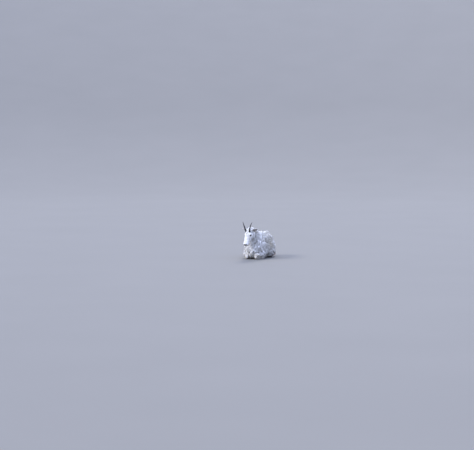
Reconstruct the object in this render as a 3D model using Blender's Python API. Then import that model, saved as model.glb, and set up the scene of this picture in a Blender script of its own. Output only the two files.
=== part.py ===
"""A mountain goat nanny in winter coat, bedded down with her head turned, life size.

The animal faces -X, its left side is towards -Y, and it lies on the plane Z = 0. The skin under the
coat is given by named sizes; the solids are its core, COAT_CORE thicker, with the locks of the long
coat fused on, out to their tips. The body and neck are modelled whole and parted with thin cuts.
"""

import math

import bmesh
import bpy
import numpy as np
from mathutils import Vector
from mathutils.bvhtree import BVHTree

# Driving sizes, in metres.
GAP = 0.0003
WELD = 0.00001
COAT_CORE = 0.018
BODY_VOXEL = 0.013
CORE_TRIANGLES = 1300

# The locks of the long coat: how many are spread over the body, and their length, width, thickness, lift
# off the core and depth of the root. The shape gives a lock's width from root to tip as a share of its own.
LOCK_SEED = 7
BODY_LOCKS = 80
LOCK_LENGTH = 0.150
LOCK_WIDTH = 0.070
LOCK_THICK = 0.014
LOCK_LIFT = 0.025
LOCK_SINK = 0.014
LOCK_STEPS = 4
LOCK_KNOTS = (0.0, 0.25, 0.5, 0.75, 1.0)
LOCK_SHAPE = (0.70, 1.0, 0.90, 0.58, 0.0)
FLOOR_CLEAR = 0.004
SPREAD_SAMPLES = 40
SPREAD_ROUNDS = 12

# A row of locks along the ridge, from, to and step in X, and the bib: rows that hang from the throat, each
# with its length, below a point inside the neck.
RIDGE_ROW = (-0.24, 0.31, 0.055)
RIDGE_ZIGZAG = 0.010
BIB_REACH = (0.120, 0.130)
BIB_TURNS = (-50, -25, 0, 25, 50)
BIB_INSIDE = (-0.20, 0.006, 0.325)
BIB_STEP = 0.055
RING_LENGTH = 0.75

# Rings of locks round the neck: a place inside it, the way to the crest in X and Z, and turns from there.
COLLAR = ((-0.262, 0.014, 0.362), (0.81, 0.58), (-140, -100, -60, -20, 20, 60, 100, 140))
NAPE = ((-0.312, 0.022, 0.418), (0.81, 0.58), (-110, -72, -36, 0, 36, 72, 110))
POLL = ((-0.326, 0.026, 0.440), (0.0, 1.0), (-72, -36, 0, 36, 72))

# The trunk's skin: stations from the breast to the rump, with top, widest height, floor side and half width.
TRUNK_X = (-0.372, -0.335, -0.265, -0.185, -0.09, 0.00, 0.09, 0.18, 0.26, 0.33, 0.372)
TRUNK_TOP = (0.240, 0.325, 0.386, 0.408, 0.402, 0.386, 0.378, 0.372, 0.352, 0.308, 0.230)
TRUNK_MID = (0.180, 0.175, 0.172, 0.168, 0.165, 0.160, 0.155, 0.152, 0.150, 0.150, 0.150)
TRUNK_LOW = (0.110, 0.045, 0.008, -0.012, -0.016, -0.016, -0.016, -0.010, 0.008, 0.040, 0.090)
TRUNK_HALF = (0.042, 0.090, 0.118, 0.131, 0.140, 0.146, 0.149, 0.145, 0.130, 0.100, 0.044)
TRUNK_SIDES = 28
RIDGE_POWER = 1.75
BELLY_POWER = 2.5

# The hindquarters lie a little to the animal's right.
SWAY_FROM = 0.0
SWAY_TO = 0.38
SWAY = 0.035

# The legs of one side: places are X, distance from the animal's middle and Z. Each limb has its knots,
# its radii there and how much of the coat's core each of them carries.
LEG_MASSES = (
    ("shoulder", (-0.228, 0.080, 0.228), (0.095, 0.060, 0.135), 0.35),
    ("haunch", (0.205, 0.076, 0.166), (0.142, 0.070, 0.140), 0.30),
)
LEG_LIMBS = (
    (
        "upper_arm",
        ((-0.300, 0.078, 0.172), (-0.255, 0.104, 0.128), (-0.207, 0.118, 0.092)),
        (0.054, 0.049, 0.041),
        (1.0, 1.0, 1.0),
    ),
    (
        "forearm",
        ((-0.207, 0.120, 0.090), (-0.288, 0.108, 0.072), (-0.366, 0.082, 0.045)),
        (0.039, 0.032, 0.027),
        (1.0, 0.8, 0.35),
    ),
    (
        "fore_cannon",
        ((-0.370, 0.081, 0.034), (-0.316, 0.108, 0.021), (-0.245, 0.140, 0.021), (-0.208, 0.152, 0.0225)),
        (0.0255, 0.0175, 0.0185, 0.0165),
        (0.35, 0.35, 0.35, 0.35),
    ),
    (
        "thigh",
        ((0.258, 0.056, 0.236), (0.150, 0.104, 0.168), (0.048, 0.128, 0.116)),
        (0.072, 0.070, 0.053),
        (1.0, 1.0, 1.0),
    ),
    (
        "shank",
        ((0.044, 0.134, 0.102), (0.158, 0.142, 0.072), (0.286, 0.144, 0.048)),
        (0.049, 0.040, 0.0265),
        (1.0, 0.9, 0.35),
    ),
    (
        "hind_cannon",
        ((0.312, 0.144, 0.043), (0.229, 0.158, 0.0235), (0.136, 0.172, 0.022), (0.084, 0.178, 0.0245)),
        (0.021, 0.0195, 0.0195, 0.0175),
        (0.35, 0.35, 0.35, 0.35),
    ),
)

NECK_KNOTS = ((-0.160, 0.0, 0.250), (-0.235, 0.008, 0.325), (-0.290, 0.018, 0.392), (-0.330, 0.028, 0.440))
NECK_RADII = (0.130, 0.108, 0.085, 0.066)
NECK_FLAT = 0.80
NAPE_KNOTS = ((-0.275, 0.015, 0.385), (-0.330, 0.028, 0.440))
NAPE_RADII = (0.076, 0.060)
TAIL_KNOTS = ((0.338, SWAY, 0.280), (0.378, SWAY, 0.258), (0.405, SWAY, 0.210))
TAIL_RADII = (0.024, 0.018, 0.011)
TAIL_FLAT = 1.4

# A hoof's toe: length, width and height, with its outline from the coronet to the tip as shares of them.
FORE_TOE = (0.052, 0.0195, 0.033)
HIND_TOE = (0.054, 0.0195, 0.035)
TOE_OUTLINE = ((0, 0.80, 1.0), (0.25, 0.96, 0.98), (0.55, 1.0, 0.80), (0.82, 0.80, 0.52), (1, 0.40, 0.26))
TOE_SOLE = 0.62
TOE_APART = 0.0108
FORE_HOOF_AT = (-0.210, 0.153, 0.0235)
HIND_HOOF_AT = (0.086, 0.178, 0.0225)

# The head: stations from the nose back to the poll, with profile heights and half width.
HEAD_S = (0.000, 0.012, 0.034, 0.068, 0.104, 0.140, 0.178, 0.218, 0.258, 0.296)
HEAD_TOP = (0.012, 0.029, 0.036, 0.040, 0.047, 0.057, 0.067, 0.071, 0.064, 0.044)
HEAD_LOW = (-0.014, -0.031, -0.040, -0.040, -0.046, -0.058, -0.070, -0.078, -0.073, -0.055)
HEAD_HALF = (0.020, 0.036, 0.043, 0.043, 0.049, 0.058, 0.065, 0.066, 0.060, 0.046)
HEAD_RINGS = 24
HEAD_SIDES = 20
HEAD_PITCH = math.radians(56)
HEAD_YAW = math.radians(13)
NOSE = Vector((-0.517, 0.048, 0.236))

EYE_RADIUS = 0.0165
EYE_AT = (0.178, 0.0440, 0.027)
EYE_FACING = (-0.25, 0.93, 0.22)
LID_HALF_LENGTH = 0.0145
LID_HALF_HEIGHT = 0.0092
LID_THICK = 0.0026
LID_REACH = 0.0195

MOUTH_AT = (0.036, 0.0, -0.013)
MOUTH_DROP = 0.007
MOUTH_HALF_TURN = 146
MOUTH_GROOVE = 0.0032
NOSTRIL_FROM = (0.030, 0.0, 0.004)
NOSTRIL_TURNS = (20, 64)
NOSTRIL_WIDTHS = (0.0016, 0.0050)

HORN_AT = (0.222, 0.032, 0.056)
HORN_LENGTH = 0.158
HORN_RADIUS = 0.0170
HORN_TIP_RADIUS = 0.0022
HORN_ROOT = 0.018
HORN_LEAN = (0.95, 0.33)
HORN_SPLAY = (0.24, 0.50)
HORN_RIPPLES = 11
HORN_RINGS = 13
HORN_SIDES = 8

EAR_AT = (0.246, 0.046, 0.022)
EAR_LENGTH = 0.118
EAR_HALF = 0.027
EAR_WALL = 0.0065
EAR_WAY = (0.38, 0.90, 0.08)
EAR_OPENS = (-0.80, 0.45, 0.10)
EAR_RINGS = (0.0, 0.10, 0.20, 0.32, 0.46, 0.60, 0.74, 0.87, 0.96)
EAR_OUTLINE = ((0, 0.12, 0.40, 0.70, 0.90, 1.0), (0.62, 0.80, 1.0, 0.72, 0.32, 0.05))

# Swellings and hollows of the head: place, reach and height, the same on both sides.
HEAD_FORMS = (
    ((0.190, 0.050, 0.050), 0.018, 0.006),
    ((0.178, 0.056, 0.027), 0.018, 0.007),
    ((0.160, 0.050, 0.008), 0.018, -0.002),
    ((0.235, 0.050, -0.022), 0.030, 0.005),
    ((0.125, 0.036, 0.010), 0.026, -0.004),
    ((0.018, 0.026, -0.006), 0.012, 0.003),
    ((0.008, 0.017, 0.014), 0.008, 0.003),
    ((0.030, 0.000, -0.038), 0.014, 0.003),
    ((0.235, 0.026, 0.068), 0.020, 0.005),
)

# Locks of the head: rows of the beard and the crown tuft, with distance behind the nose, length and
# places across, and the roots of the cheek ruff, with distance behind the nose and height.
BEARD_ROWS = ((0.042, 0.075), (0.060, 0.100), (0.078, 0.118), (0.096, 0.108))
BEARD_ACROSS = (-0.020, 0.0, 0.020)
BEARD_WIDTH = 0.030
CROWN_ROWS = ((0.222, 0.036), (0.242, 0.050), (0.264, 0.050))
CROWN_ACROSS = (-0.030, 0.0, 0.030)
CROWN_WIDTH = 0.034
RUFF_AT = ((0.185, -0.050), (0.208, -0.030), (0.222, -0.058), (0.236, -0.010), (0.246, -0.040), (0.256, 0.012))
RUFF_LENGTH = 0.078
RUFF_WIDTH = 0.032

# Where the body is parted. The head's plane is in the head's own directions, and boxes hold the legs of
# the right side, mirrored for the left, and the tail.
HEAD_CUT_AT = (0.240, 0.0, -0.080)
HEAD_CUT_WAY = (0.24, 0.0, -0.96)
NECK_AT = (-0.235, 0.0, 0.335)
NECK_WAY = (-0.58, 0.0, 0.81)
FORELEG_BOX = ((-0.70, 0.058, -0.2), (-0.150, 0.60, 0.138))
HIND_LEG_BOX = ((-0.030, 0.094, -0.2), (0.70, 0.60, 0.290))
TAIL_BOX = ((0.388, -0.045, 0.12), (0.70, 0.045, 0.300))
REGIONS = ("neck", "tail", "foreleg_left", "foreleg_right", "hind_leg_left", "hind_leg_right")

SHARP_ANGLE = math.radians(40)
FLESH = (0.90, 0.88, 0.83, 1.0)
HORN_BLACK = (0.030, 0.028, 0.027, 1.0)
HOOF_BLACK = (0.045, 0.042, 0.040, 1.0)
EYE_BROWN = (0.050, 0.028, 0.014, 1.0)


def along(knots, values, x):
    """Smooth curve through the values at the knots, with no overshoot to speak of."""
    knots = np.asarray(knots, float)
    values = np.asarray(values, float)
    slopes = np.gradient(values, knots)
    i = np.clip(np.searchsorted(knots, x) - 1, 0, len(knots) - 2)
    step = knots[i + 1] - knots[i]
    t = np.clip((x - knots[i]) / step, 0, 1)
    a = (1 + 2 * t) * (1 - t) ** 2 * values[i] + t * (1 - t) ** 2 * step * slopes[i]
    return a + t * t * (3 - 2 * t) * values[i + 1] + t * t * (t - 1) * step * slopes[i + 1]


def smooth(low, high, x):
    t = np.clip((x - low) / (high - low), 0, 1)
    return t * t * (3 - 2 * t)


def sway(x):
    return SWAY * smooth(SWAY_FROM, SWAY_TO, x)


def power_wave(value, power):
    return np.sign(value) * np.abs(value) ** (2 / power)


def material(name, colour, roughness):
    made = bpy.data.materials.get(name) or bpy.data.materials.new(name)
    made.use_nodes = True
    shader = made.node_tree.nodes["Principled BSDF"]
    shader.inputs["Base Color"].default_value = colour
    shader.inputs["Roughness"].default_value = roughness
    shader.inputs["Metallic"].default_value = 0.0
    return made


def mesh_object(name, points, faces):
    """A mesh object with its faces turned outwards."""
    points = np.asarray(points, float)
    volume = 0.0
    for face in faces:
        for k in range(1, len(face) - 1):
            volume += np.linalg.det(points[[face[0], face[k], face[k + 1]]])
    if volume < 0:
        faces = [tuple(reversed(face)) for face in faces]
    mesh = bpy.data.meshes.new(name)
    mesh.from_pydata([tuple(p) for p in points], [], faces)
    mesh.update()
    made = bpy.data.objects.new(name, mesh)
    bpy.context.scene.collection.objects.link(made)
    return made


def loft(name, rings):
    """A closed skin over rings of equally many points, with a point closing each end."""
    rings = [np.asarray(ring, float) for ring in rings]
    sides = len(rings[0])
    points = np.concatenate(rings + [rings[0].mean(0, keepdims=True), rings[-1].mean(0, keepdims=True)])
    first_pole = len(rings) * sides
    last = (len(rings) - 1) * sides
    faces = []
    for k in range(sides):
        after = (k + 1) % sides
        for r in range(len(rings) - 1):
            low = r * sides
            faces.append((low + k, low + after, low + sides + after))
            faces.append((low + k, low + sides + after, low + sides + k))
        faces.append((first_pole, after, k))
        faces.append((first_pole + 1, last + k, last + after))
    return mesh_object(name, points, faces)


def frames_along(path):
    """Tangent and two cross vectors at each point of a path."""
    path = np.asarray(path, float)
    tangents = np.gradient(path, axis=0)
    tangents /= np.linalg.norm(tangents, axis=1, keepdims=True)
    up = np.array([0.0, 0.0, 1.0])
    if abs(tangents[0] @ up) > 0.9:
        up = np.array([1.0, 0.0, 0.0])
    sides = np.cross(tangents, up)
    sides /= np.linalg.norm(sides, axis=1, keepdims=True)
    return tangents, sides, np.cross(sides, tangents)


def limb(name, knots, radii, flat=1.0, sides=14, steps=12):
    """A round-ended limb through the knots, its cross-section flat times as wide as it is high."""
    knots = np.asarray(knots, float)
    reach = np.concatenate([[0], np.cumsum(np.linalg.norm(np.diff(knots, axis=0), axis=1))])
    stops = np.linspace(0, reach[-1], steps)
    path = np.stack([along(reach, knots[:, k], stops) for k in range(3)], axis=1)
    wide = along(reach, radii, stops)
    tangents, across, over = frames_along(path)
    angles = np.linspace(0, 2 * math.pi, sides, endpoint=False)
    rings = []
    for turn in (80, 55, 28):
        back = math.radians(turn)
        centre = path[0] - tangents[0] * wide[0] * math.sin(back)
        rings.append((centre, wide[0] * math.cos(back), 0))
    rings += [(path[k], wide[k], k) for k in range(steps)]
    for turn in (28, 55, 80):
        out = math.radians(turn)
        centre = path[-1] + tangents[-1] * wide[-1] * math.sin(out)
        rings.append((centre, wide[-1] * math.cos(out), steps - 1))
    made = []
    for centre, radius, k in rings:
        ring = np.outer(np.cos(angles) * radius * flat, across[k])
        made.append(centre + ring + np.outer(np.sin(angles) * radius, over[k]))
    return loft(name, made)


def blob(name, centre, radii, lean=0.0, sides=20, steps=12):
    """An ellipsoid, leaning by an angle in the plane of X and Z."""
    angles = np.linspace(0, 2 * math.pi, sides, endpoint=False)
    rings = []
    for turn in np.linspace(-80, 80, steps):
        level = math.radians(turn)
        x = np.cos(angles) * math.cos(level) * radii[0]
        y = np.sin(angles) * math.cos(level) * radii[1]
        z = np.full(sides, math.sin(level) * radii[2])
        turned = [x * math.cos(lean) + z * math.sin(lean), y, z * math.cos(lean) - x * math.sin(lean)]
        rings.append(np.stack(turned, axis=1) + np.asarray(centre))
    return loft(name, rings)


def trunk(grow):
    angles = np.linspace(0, 2 * math.pi, TRUNK_SIDES, endpoint=False)
    rings = []
    for x in np.linspace(TRUNK_X[0], TRUNK_X[-1], 44):
        mid = along(TRUNK_X, TRUNK_MID, x)
        high = along(TRUNK_X, TRUNK_TOP, x) + grow - mid
        low = mid - along(TRUNK_X, TRUNK_LOW, x) + grow
        half = along(TRUNK_X, TRUNK_HALF, x) + grow
        upper = np.sin(angles) > 0
        power = np.where(upper, RIDGE_POWER, BELLY_POWER)
        y = half * power_wave(np.cos(angles), power) + sway(x)
        z = mid + np.where(upper, high, low) * power_wave(np.sin(angles), power)
        rings.append(np.stack([np.full(TRUNK_SIDES, x), y, z], axis=1))
    return loft("trunk", rings)


def leg_forms(side, grow):
    """The shoulder, folded foreleg, haunch and folded hind leg of one side: -1 is the animal's left."""

    def at(place):
        x, y, z = place
        return (x, side * y + sway(x), z)

    made = []
    for name, place, radii, lean in LEG_MASSES:
        made.append(blob(name, at(place), [radius + grow for radius in radii], lean))
    for name, places, radii, coat in LEG_LIMBS:
        grown = [radius + grow * share for radius, share in zip(radii, coat)]
        made.append(limb(name, [at(place) for place in places], grown))
    return made


def neck_form(grow):
    radii = np.array(NECK_RADII) + grow * np.array((1.0, 1.0, 1.0, 0.6))
    return limb("neck_form", NECK_KNOTS, radii, flat=NECK_FLAT, sides=20, steps=14)


def nape_form(grow):
    """The upper end of the neck, which stays with the head."""
    radii = np.array(NAPE_RADII) + grow * np.array((1.0, 0.6))
    return limb("nape_form", NAPE_KNOTS, radii, flat=NECK_FLAT, sides=16, steps=3)


def tail_form(grow):
    return limb("tail_form", TAIL_KNOTS, np.array(TAIL_RADII) + grow * 0.5, flat=TAIL_FLAT, sides=10, steps=6)


def evaluated_mesh(thing):
    graph = bpy.context.evaluated_depsgraph_get()
    return bpy.data.meshes.new_from_object(thing.evaluated_get(graph))


def bake(thing):
    """Applies the modifiers of an object."""
    made = evaluated_mesh(thing)
    thing.modifiers.clear()
    thing.data = made
    return thing


def drop(things):
    for thing in things:
        bpy.data.objects.remove(thing)


def joined(name, things):
    """One object that holds the meshes of several, overlapping as they are."""
    points = []
    faces = []
    for thing in things:
        start = len(points)
        points += [tuple(v.co) for v in thing.data.vertices]
        faces += [tuple(start + k for k in face.vertices) for face in thing.data.polygons]
    mesh = bpy.data.meshes.new(name)
    mesh.from_pydata(points, [], faces)
    made = bpy.data.objects.new(name, mesh)
    bpy.context.scene.collection.objects.link(made)
    drop(things)
    return made


def body_core():
    """Trunk, neck, legs and tail as one smooth closed surface."""
    forms = [trunk(COAT_CORE), neck_form(COAT_CORE), tail_form(COAT_CORE)]
    for side in (-1, 1):
        forms += leg_forms(side, COAT_CORE)
    core = joined("core", forms)
    remesh = core.modifiers.new("Remesh", "REMESH")
    remesh.mode = "VOXEL"
    remesh.voxel_size = BODY_VOXEL
    blend = core.modifiers.new("Smooth", "SMOOTH")
    blend.factor = 0.6
    blend.iterations = 8
    bake(core)
    thin = core.modifiers.new("Decimate", "DECIMATE")
    thin.ratio = CORE_TRIANGLES / (2 * len(core.data.polygons))
    return bake(core)


def combine(thing, others, operation):
    """One Boolean with a collection of closed meshes, which it then removes.

    The exact solver leaves open edges where this many locks cross, so this is the manifold solver.
    """
    group = bpy.data.collections.new("pieces")
    bpy.context.scene.collection.children.link(group)
    for other in others:
        bpy.context.scene.collection.objects.unlink(other)
        group.objects.link(other)
    mix = thing.modifiers.new("Combine", "BOOLEAN")
    mix.operation = operation
    mix.operand_type = "COLLECTION"
    mix.collection = group
    mix.solver = "MANIFOLD"
    bpy.context.view_layer.update()
    bake(thing)
    drop(others)
    bpy.data.collections.remove(group)
    return keep_largest(thing)


def keep_largest(thing):
    """Keeps only the largest closed surface of a mesh."""
    mesh = thing.data
    parent = list(range(len(mesh.vertices)))

    def root(k):
        while parent[k] != k:
            parent[k] = parent[parent[k]]
            k = parent[k]
        return k

    for edge in mesh.edges:
        parent[root(edge.vertices[0])] = root(edge.vertices[1])
    volumes = {}
    for face in mesh.polygons:
        ids = face.vertices
        corner = mesh.vertices[ids[0]].co
        group = root(ids[0])
        for k in range(1, len(ids) - 1):
            second = mesh.vertices[ids[k]].co
            third = mesh.vertices[ids[k + 1]].co
            volumes[group] = volumes.get(group, 0.0) + corner.dot(second.cross(third))
    best = max(volumes, key=volumes.get)
    kept = [k for k in range(len(mesh.vertices)) if root(k) == best]
    index = {old: new for new, old in enumerate(kept)}
    points = [tuple(mesh.vertices[k].co) for k in kept]
    chosen = [face for face in mesh.polygons if root(face.vertices[0]) == best]
    faces = [tuple(index[k] for k in face.vertices) for face in chosen]
    made = bpy.data.meshes.new(mesh.name)
    made.from_pydata(points, [], faces)
    thing.data = made
    return thing


def weld(thing):
    """Merges the corners that a Boolean leaves almost on top of each other."""
    mesh = bmesh.new()
    mesh.from_mesh(thing.data)
    bmesh.ops.remove_doubles(mesh, verts=mesh.verts, dist=WELD)
    mesh.to_mesh(thing.data)
    mesh.free()


def surface_of(thing):
    return BVHTree.FromPolygons(
        [v.co.copy() for v in thing.data.vertices], [tuple(f.vertices) for f in thing.data.polygons]
    )


def lie(point, normal):
    """The way the body's coat lies: back along the ridge, then down, spreading at the floor."""
    side = max(-1.0, min(1.0, 4 * normal.y))
    flat = max(0.0, normal.z)
    flow = Vector((0.42 + 0.45 * flat, side * 0.40 * flat, -1.0))
    if normal.x < -0.3:
        flow.x = 0.0
    if point.z < 0.09:
        flow.y += side * 0.6
    flow -= normal * flow.dot(normal)
    return flow.normalized()


def comb(surface, root, normal, length, lift):
    """The middle line of a lock: rooted under the surface, it follows the lie and lifts towards the tip."""
    line = [root - normal * LOCK_SINK]
    ups = [normal]
    spot = root
    for k in range(1, LOCK_STEPS + 1):
        share = k / LOCK_STEPS
        spot, normal, _, _ = surface.find_nearest(spot + lie(spot, normal) * (length / LOCK_STEPS))
        point = spot + normal * lift * math.sin(min(1.0, 1.35 * share) * math.pi / 2)
        point.z = max(point.z, FLOOR_CLEAR * (1 + share))
        line.append(point)
        ups.append(normal)
    return line, ups


def hang(surface, root, normal, way, length, droop, clear, steps=LOCK_STEPS):
    """The middle line of a lock that starts along a way and sinks by its weight, clear of the surface."""
    line = [root - normal * LOCK_SINK * 0.7]
    ups = [normal]
    spot = root + normal * clear * 0.5
    run = Vector(way).normalized()
    for _ in range(steps):
        run = (run + Vector((0.0, 0.0, -droop))).normalized()
        spot = spot + run * (length / steps)
        near, out, _, _ = surface.find_nearest(spot)
        short = clear - (spot - near).dot(out)
        if short > 0:
            spot = spot + out * short
        spot.z = max(spot.z, FLOOR_CLEAR * 2)
        line.append(spot.copy())
        ups.append(normal)
    return line, ups


def lock(name, line, ups, width, thick):
    """A flat, tapered lock along a line: flat below with a low ridge above, closed by its tip."""
    line = [np.asarray(p, float) for p in line]
    rings = []
    for k in range(len(line) - 1):
        tangent = line[k + 1] - line[max(0, k - 1)]
        side = np.cross(tangent, np.asarray(ups[k], float))
        side /= np.linalg.norm(side)
        over = np.cross(side, tangent)
        over /= np.linalg.norm(over)
        size = along(LOCK_KNOTS, LOCK_SHAPE, k / (len(line) - 1))
        wide = side * width * 0.5 * size
        deep = over * thick * size
        rings.append([line[k] + wide - deep * 0.4, line[k] + deep * 0.6, line[k] - wide - deep * 0.4])
    points = np.concatenate([np.asarray(ring) for ring in rings] + [line[-1][None, :]])
    tip = len(points) - 1
    last = tip - 3
    faces = [(0, 1, 2)]
    for low in range(0, last, 3):
        for k in range(3):
            after = (k + 1) % 3
            faces.append((low + k, low + 3 + after, low + after))
            faces.append((low + k, low + 3 + k, low + 3 + after))
    faces += [(last, tip, last + 1), (last + 1, tip, last + 2), (last + 2, tip, last)]
    return mesh_object(name, points, faces)


def coat_sizes(point):
    """Length and lift of the locks at a place on the body: longest on the hump and the breast."""
    crest = float(smooth(0.34, 0.42, point.z))
    front = float(smooth(-0.20, -0.32, point.x))
    low = float(smooth(0.17, 0.09, point.z))
    length = (LOCK_LENGTH + 0.016 * crest + 0.022 * front) * (1 - 0.35 * low)
    return length, LOCK_LIFT * (1 + 0.3 * crest - 0.3 * low)


def bare(point, normal):
    """The places that carry no long locks: the folded cannons, the underside and what the head covers."""
    x, y, z = point
    low_leg = z < 0.062 and abs(y - sway(x)) > 0.10
    return low_leg or z < 0.045 or normal[2] < -0.55 or (z > 0.30 and head_side(Vector(point)) > -0.02)


def spread_roots(core, count):
    """Places spread evenly over the hairy part of the core, with their normals."""
    rng = np.random.default_rng(LOCK_SEED)
    mesh = core.data
    mesh.calc_loop_triangles()
    corners = np.array([[mesh.vertices[k].co for k in tri.vertices] for tri in mesh.loop_triangles])
    cross = np.cross(corners[:, 1] - corners[:, 0], corners[:, 2] - corners[:, 0])
    areas = np.linalg.norm(cross, axis=1)
    picks = rng.choice(len(areas), SPREAD_SAMPLES * count, p=areas / areas.sum())
    shares = rng.dirichlet((1, 1, 1), len(picks))
    points = (corners[picks] * shares[:, :, None]).sum(axis=1)
    normals = cross[picks] / areas[picks, None]
    hairy = [k for k in range(len(points)) if not bare(points[k], normals[k])]
    points = points[hairy]
    normals = normals[hairy]
    centres = points[:count]
    for _ in range(SPREAD_ROUNDS):
        nearest = np.linalg.norm(points[:, None] - centres[None], axis=2).argmin(axis=1)
        centres = np.array([points[nearest == k].mean(axis=0) for k in range(count)])
    chosen = np.linalg.norm(points[:, None] - centres[None], axis=2).argmin(axis=0)
    return [(Vector(points[k]), Vector(normals[k])) for k in chosen]


def body_locks(core):
    """Locks all over the body, a row along the ridge and a bib that hangs from the throat."""
    surface = surface_of(core)
    rng = np.random.default_rng(LOCK_SEED + 1)
    made = []

    def add(line, ups, width):
        made.append(lock(f"lock_{len(made)}", line, ups, width * rng.uniform(0.85, 1.15), LOCK_THICK))

    for point, normal in spread_roots(core, BODY_LOCKS):
        length, lift = coat_sizes(point)
        line, ups = comb(surface, point, normal, length * rng.uniform(0.85, 1.15), lift * rng.uniform(0.85, 1.15))
        add(line, ups, LOCK_WIDTH * (1 - 0.3 * smooth(0.17, 0.09, point.z)))
    for k, x in enumerate(np.arange(*RIDGE_ROW)):
        above = Vector((x, sway(x) + RIDGE_ZIGZAG * (-1) ** k, 1.0))
        point, normal, _, _ = surface.ray_cast(above, Vector((0, 0, -1)))
        length, lift = coat_sizes(point)
        line, ups = comb(surface, point, normal, length * 0.85, lift * (0.7 + 0.4 * smooth(-0.24, -0.12, x)))
        add(line, ups, LOCK_WIDTH)
    for row, reach in enumerate(BIB_REACH):
        for turn in BIB_TURNS:
            angle = math.radians(turn + 12 * (row % 2))
            inside = Vector(BIB_INSIDE) - Vector((0, 0, BIB_STEP * row))
            look = Vector((-math.cos(angle), math.sin(angle), -0.45))
            point, normal, _, _ = surface.ray_cast(inside, look)
            line, ups = hang(surface, point, normal, normal * 0.6 + Vector((0, 0, -1)), reach, 0.9, 0.012)
            add(line, ups, LOCK_WIDTH * 0.85)
    return made


def neck_ring(core, place, crest, turns):
    """A ring of locks round the neck."""
    surface = surface_of(core)
    made = []
    for turn in turns:
        angle = math.radians(turn)
        look = Vector((crest[0] * math.cos(angle), math.sin(angle), crest[1] * math.cos(angle)))
        point, normal, _, _ = surface.ray_cast(Vector(place), look)
        length, lift = coat_sizes(point)
        line, ups = comb(surface, point, normal, length * RING_LENGTH, lift * RING_LENGTH)
        made.append(lock(f"neck_lock_{turn}", line, ups, LOCK_WIDTH * 0.85, LOCK_THICK))
    return made


def head_axes():
    """Unit vectors of the head: from the nose back, to its left, and out of the forehead."""
    flat = Vector((-math.cos(HEAD_YAW), math.sin(HEAD_YAW), 0.0))
    ahead = flat * math.cos(HEAD_PITCH) - Vector((0, 0, math.sin(HEAD_PITCH)))
    crown = flat * math.sin(HEAD_PITCH) + Vector((0, 0, math.cos(HEAD_PITCH)))
    left = crown.cross(ahead)
    return -ahead, left, crown


def head_point(s, y, d):
    """A place on the head, from its distance behind the nose, to its left, and towards the forehead."""
    back, left, crown = head_axes()
    return NOSE + back * s + left * y + crown * d


def head_way(s, y, d):
    back, left, crown = head_axes()
    return (back * s + left * y + crown * d).normalized()


def head_side(point):
    """Height of a point over the plane between neck and head, towards the head."""
    return -(point - head_point(*HEAD_CUT_AT)).dot(head_way(*HEAD_CUT_WAY))


def head_rings(rings, sides):
    """Rings of the head's skin in its own directions, closer together at the muzzle."""
    angles = np.linspace(0, 2 * math.pi, sides, endpoint=False)
    wave_y = np.sign(np.cos(angles)) * np.abs(np.cos(angles)) ** 0.90
    wave_d = np.sign(np.sin(angles)) * np.abs(np.sin(angles)) ** 0.95
    narrow = 1 - 0.30 * np.maximum(0, np.sin(angles)) ** 1.6 - 0.34 * np.maximum(0, -np.sin(angles)) ** 1.5
    made = []
    for share in np.linspace(0, 1, rings):
        s = HEAD_S[-1] * (0.55 * share**2 + 0.45 * share)
        top = along(HEAD_S, HEAD_TOP, s)
        low = along(HEAD_S, HEAD_LOW, s)
        half = along(HEAD_S, HEAD_HALF, s)
        mid = 0.5 * (top + low)
        y = half * wave_y * narrow
        d = mid + 0.5 * (top - low) * wave_d
        ring = np.stack([np.full(sides, s), y, d], axis=1)
        out = np.stack([np.zeros(sides), np.cos(angles), np.sin(angles)], axis=1)
        out[:, 0] = -max(0.0, 1 - s / 0.02)
        out /= np.linalg.norm(out, axis=1, keepdims=True)
        push = np.zeros(sides)
        for place, reach, height in HEAD_FORMS:
            for mirror in (-1, 1):
                away = ring - np.array([place[0], mirror * place[1], place[2]])
                push = push + height * np.exp(-(away**2).sum(1) / (2 * reach**2)) / (2 if place[1] == 0 else 1)
        made.append(ring + out * push[:, None])
    return made


def in_head(points):
    back, left, crown = (np.asarray(v, float) for v in head_axes())
    points = np.asarray(points, float)
    return np.asarray(NOSE) + points @ np.stack([back, left, crown])


def eye_point(side):
    return head_point(EYE_AT[0], -side * EYE_AT[1], EYE_AT[2])


def ball(name, centre, radius, sides=12, steps=6):
    centre = np.asarray(centre, float)
    angles = np.linspace(0, 2 * math.pi, sides, endpoint=False)
    rings = []
    for level in np.linspace(-math.pi / 2, math.pi / 2, steps + 2)[1:-1]:
        ring = [np.cos(angles) * math.cos(level), np.sin(angles) * math.cos(level), np.full(sides, math.sin(level))]
        rings.append(centre + np.stack(ring, axis=1) * radius)
    made = loft(name, rings)
    below, above = made.data.vertices[-2:]
    below.co = Vector(centre) - Vector((0, 0, radius))
    above.co = Vector(centre) + Vector((0, 0, radius))
    return made


def almond(side, size, segments=12):
    """The outline of an eye's opening, flat before the eye, with the directions it is drawn in."""
    facing = np.asarray(head_way(EYE_FACING[0], -side * EYE_FACING[1], EYE_FACING[2]), float)
    length_way = np.asarray(head_way(0.86, 0.0, -0.50), float)
    length_way -= facing * (length_way @ facing)
    length_way /= np.linalg.norm(length_way)
    height_way = np.cross(facing, length_way)
    turns = np.linspace(0, 2 * math.pi, segments, endpoint=False)
    long = np.cos(turns) * (LID_HALF_LENGTH + size)
    high = np.sin(turns) * np.abs(np.sin(turns)) ** 0.25 * (LID_HALF_HEIGHT + size)
    return np.outer(long, length_way) + np.outer(high, height_way), facing


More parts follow.
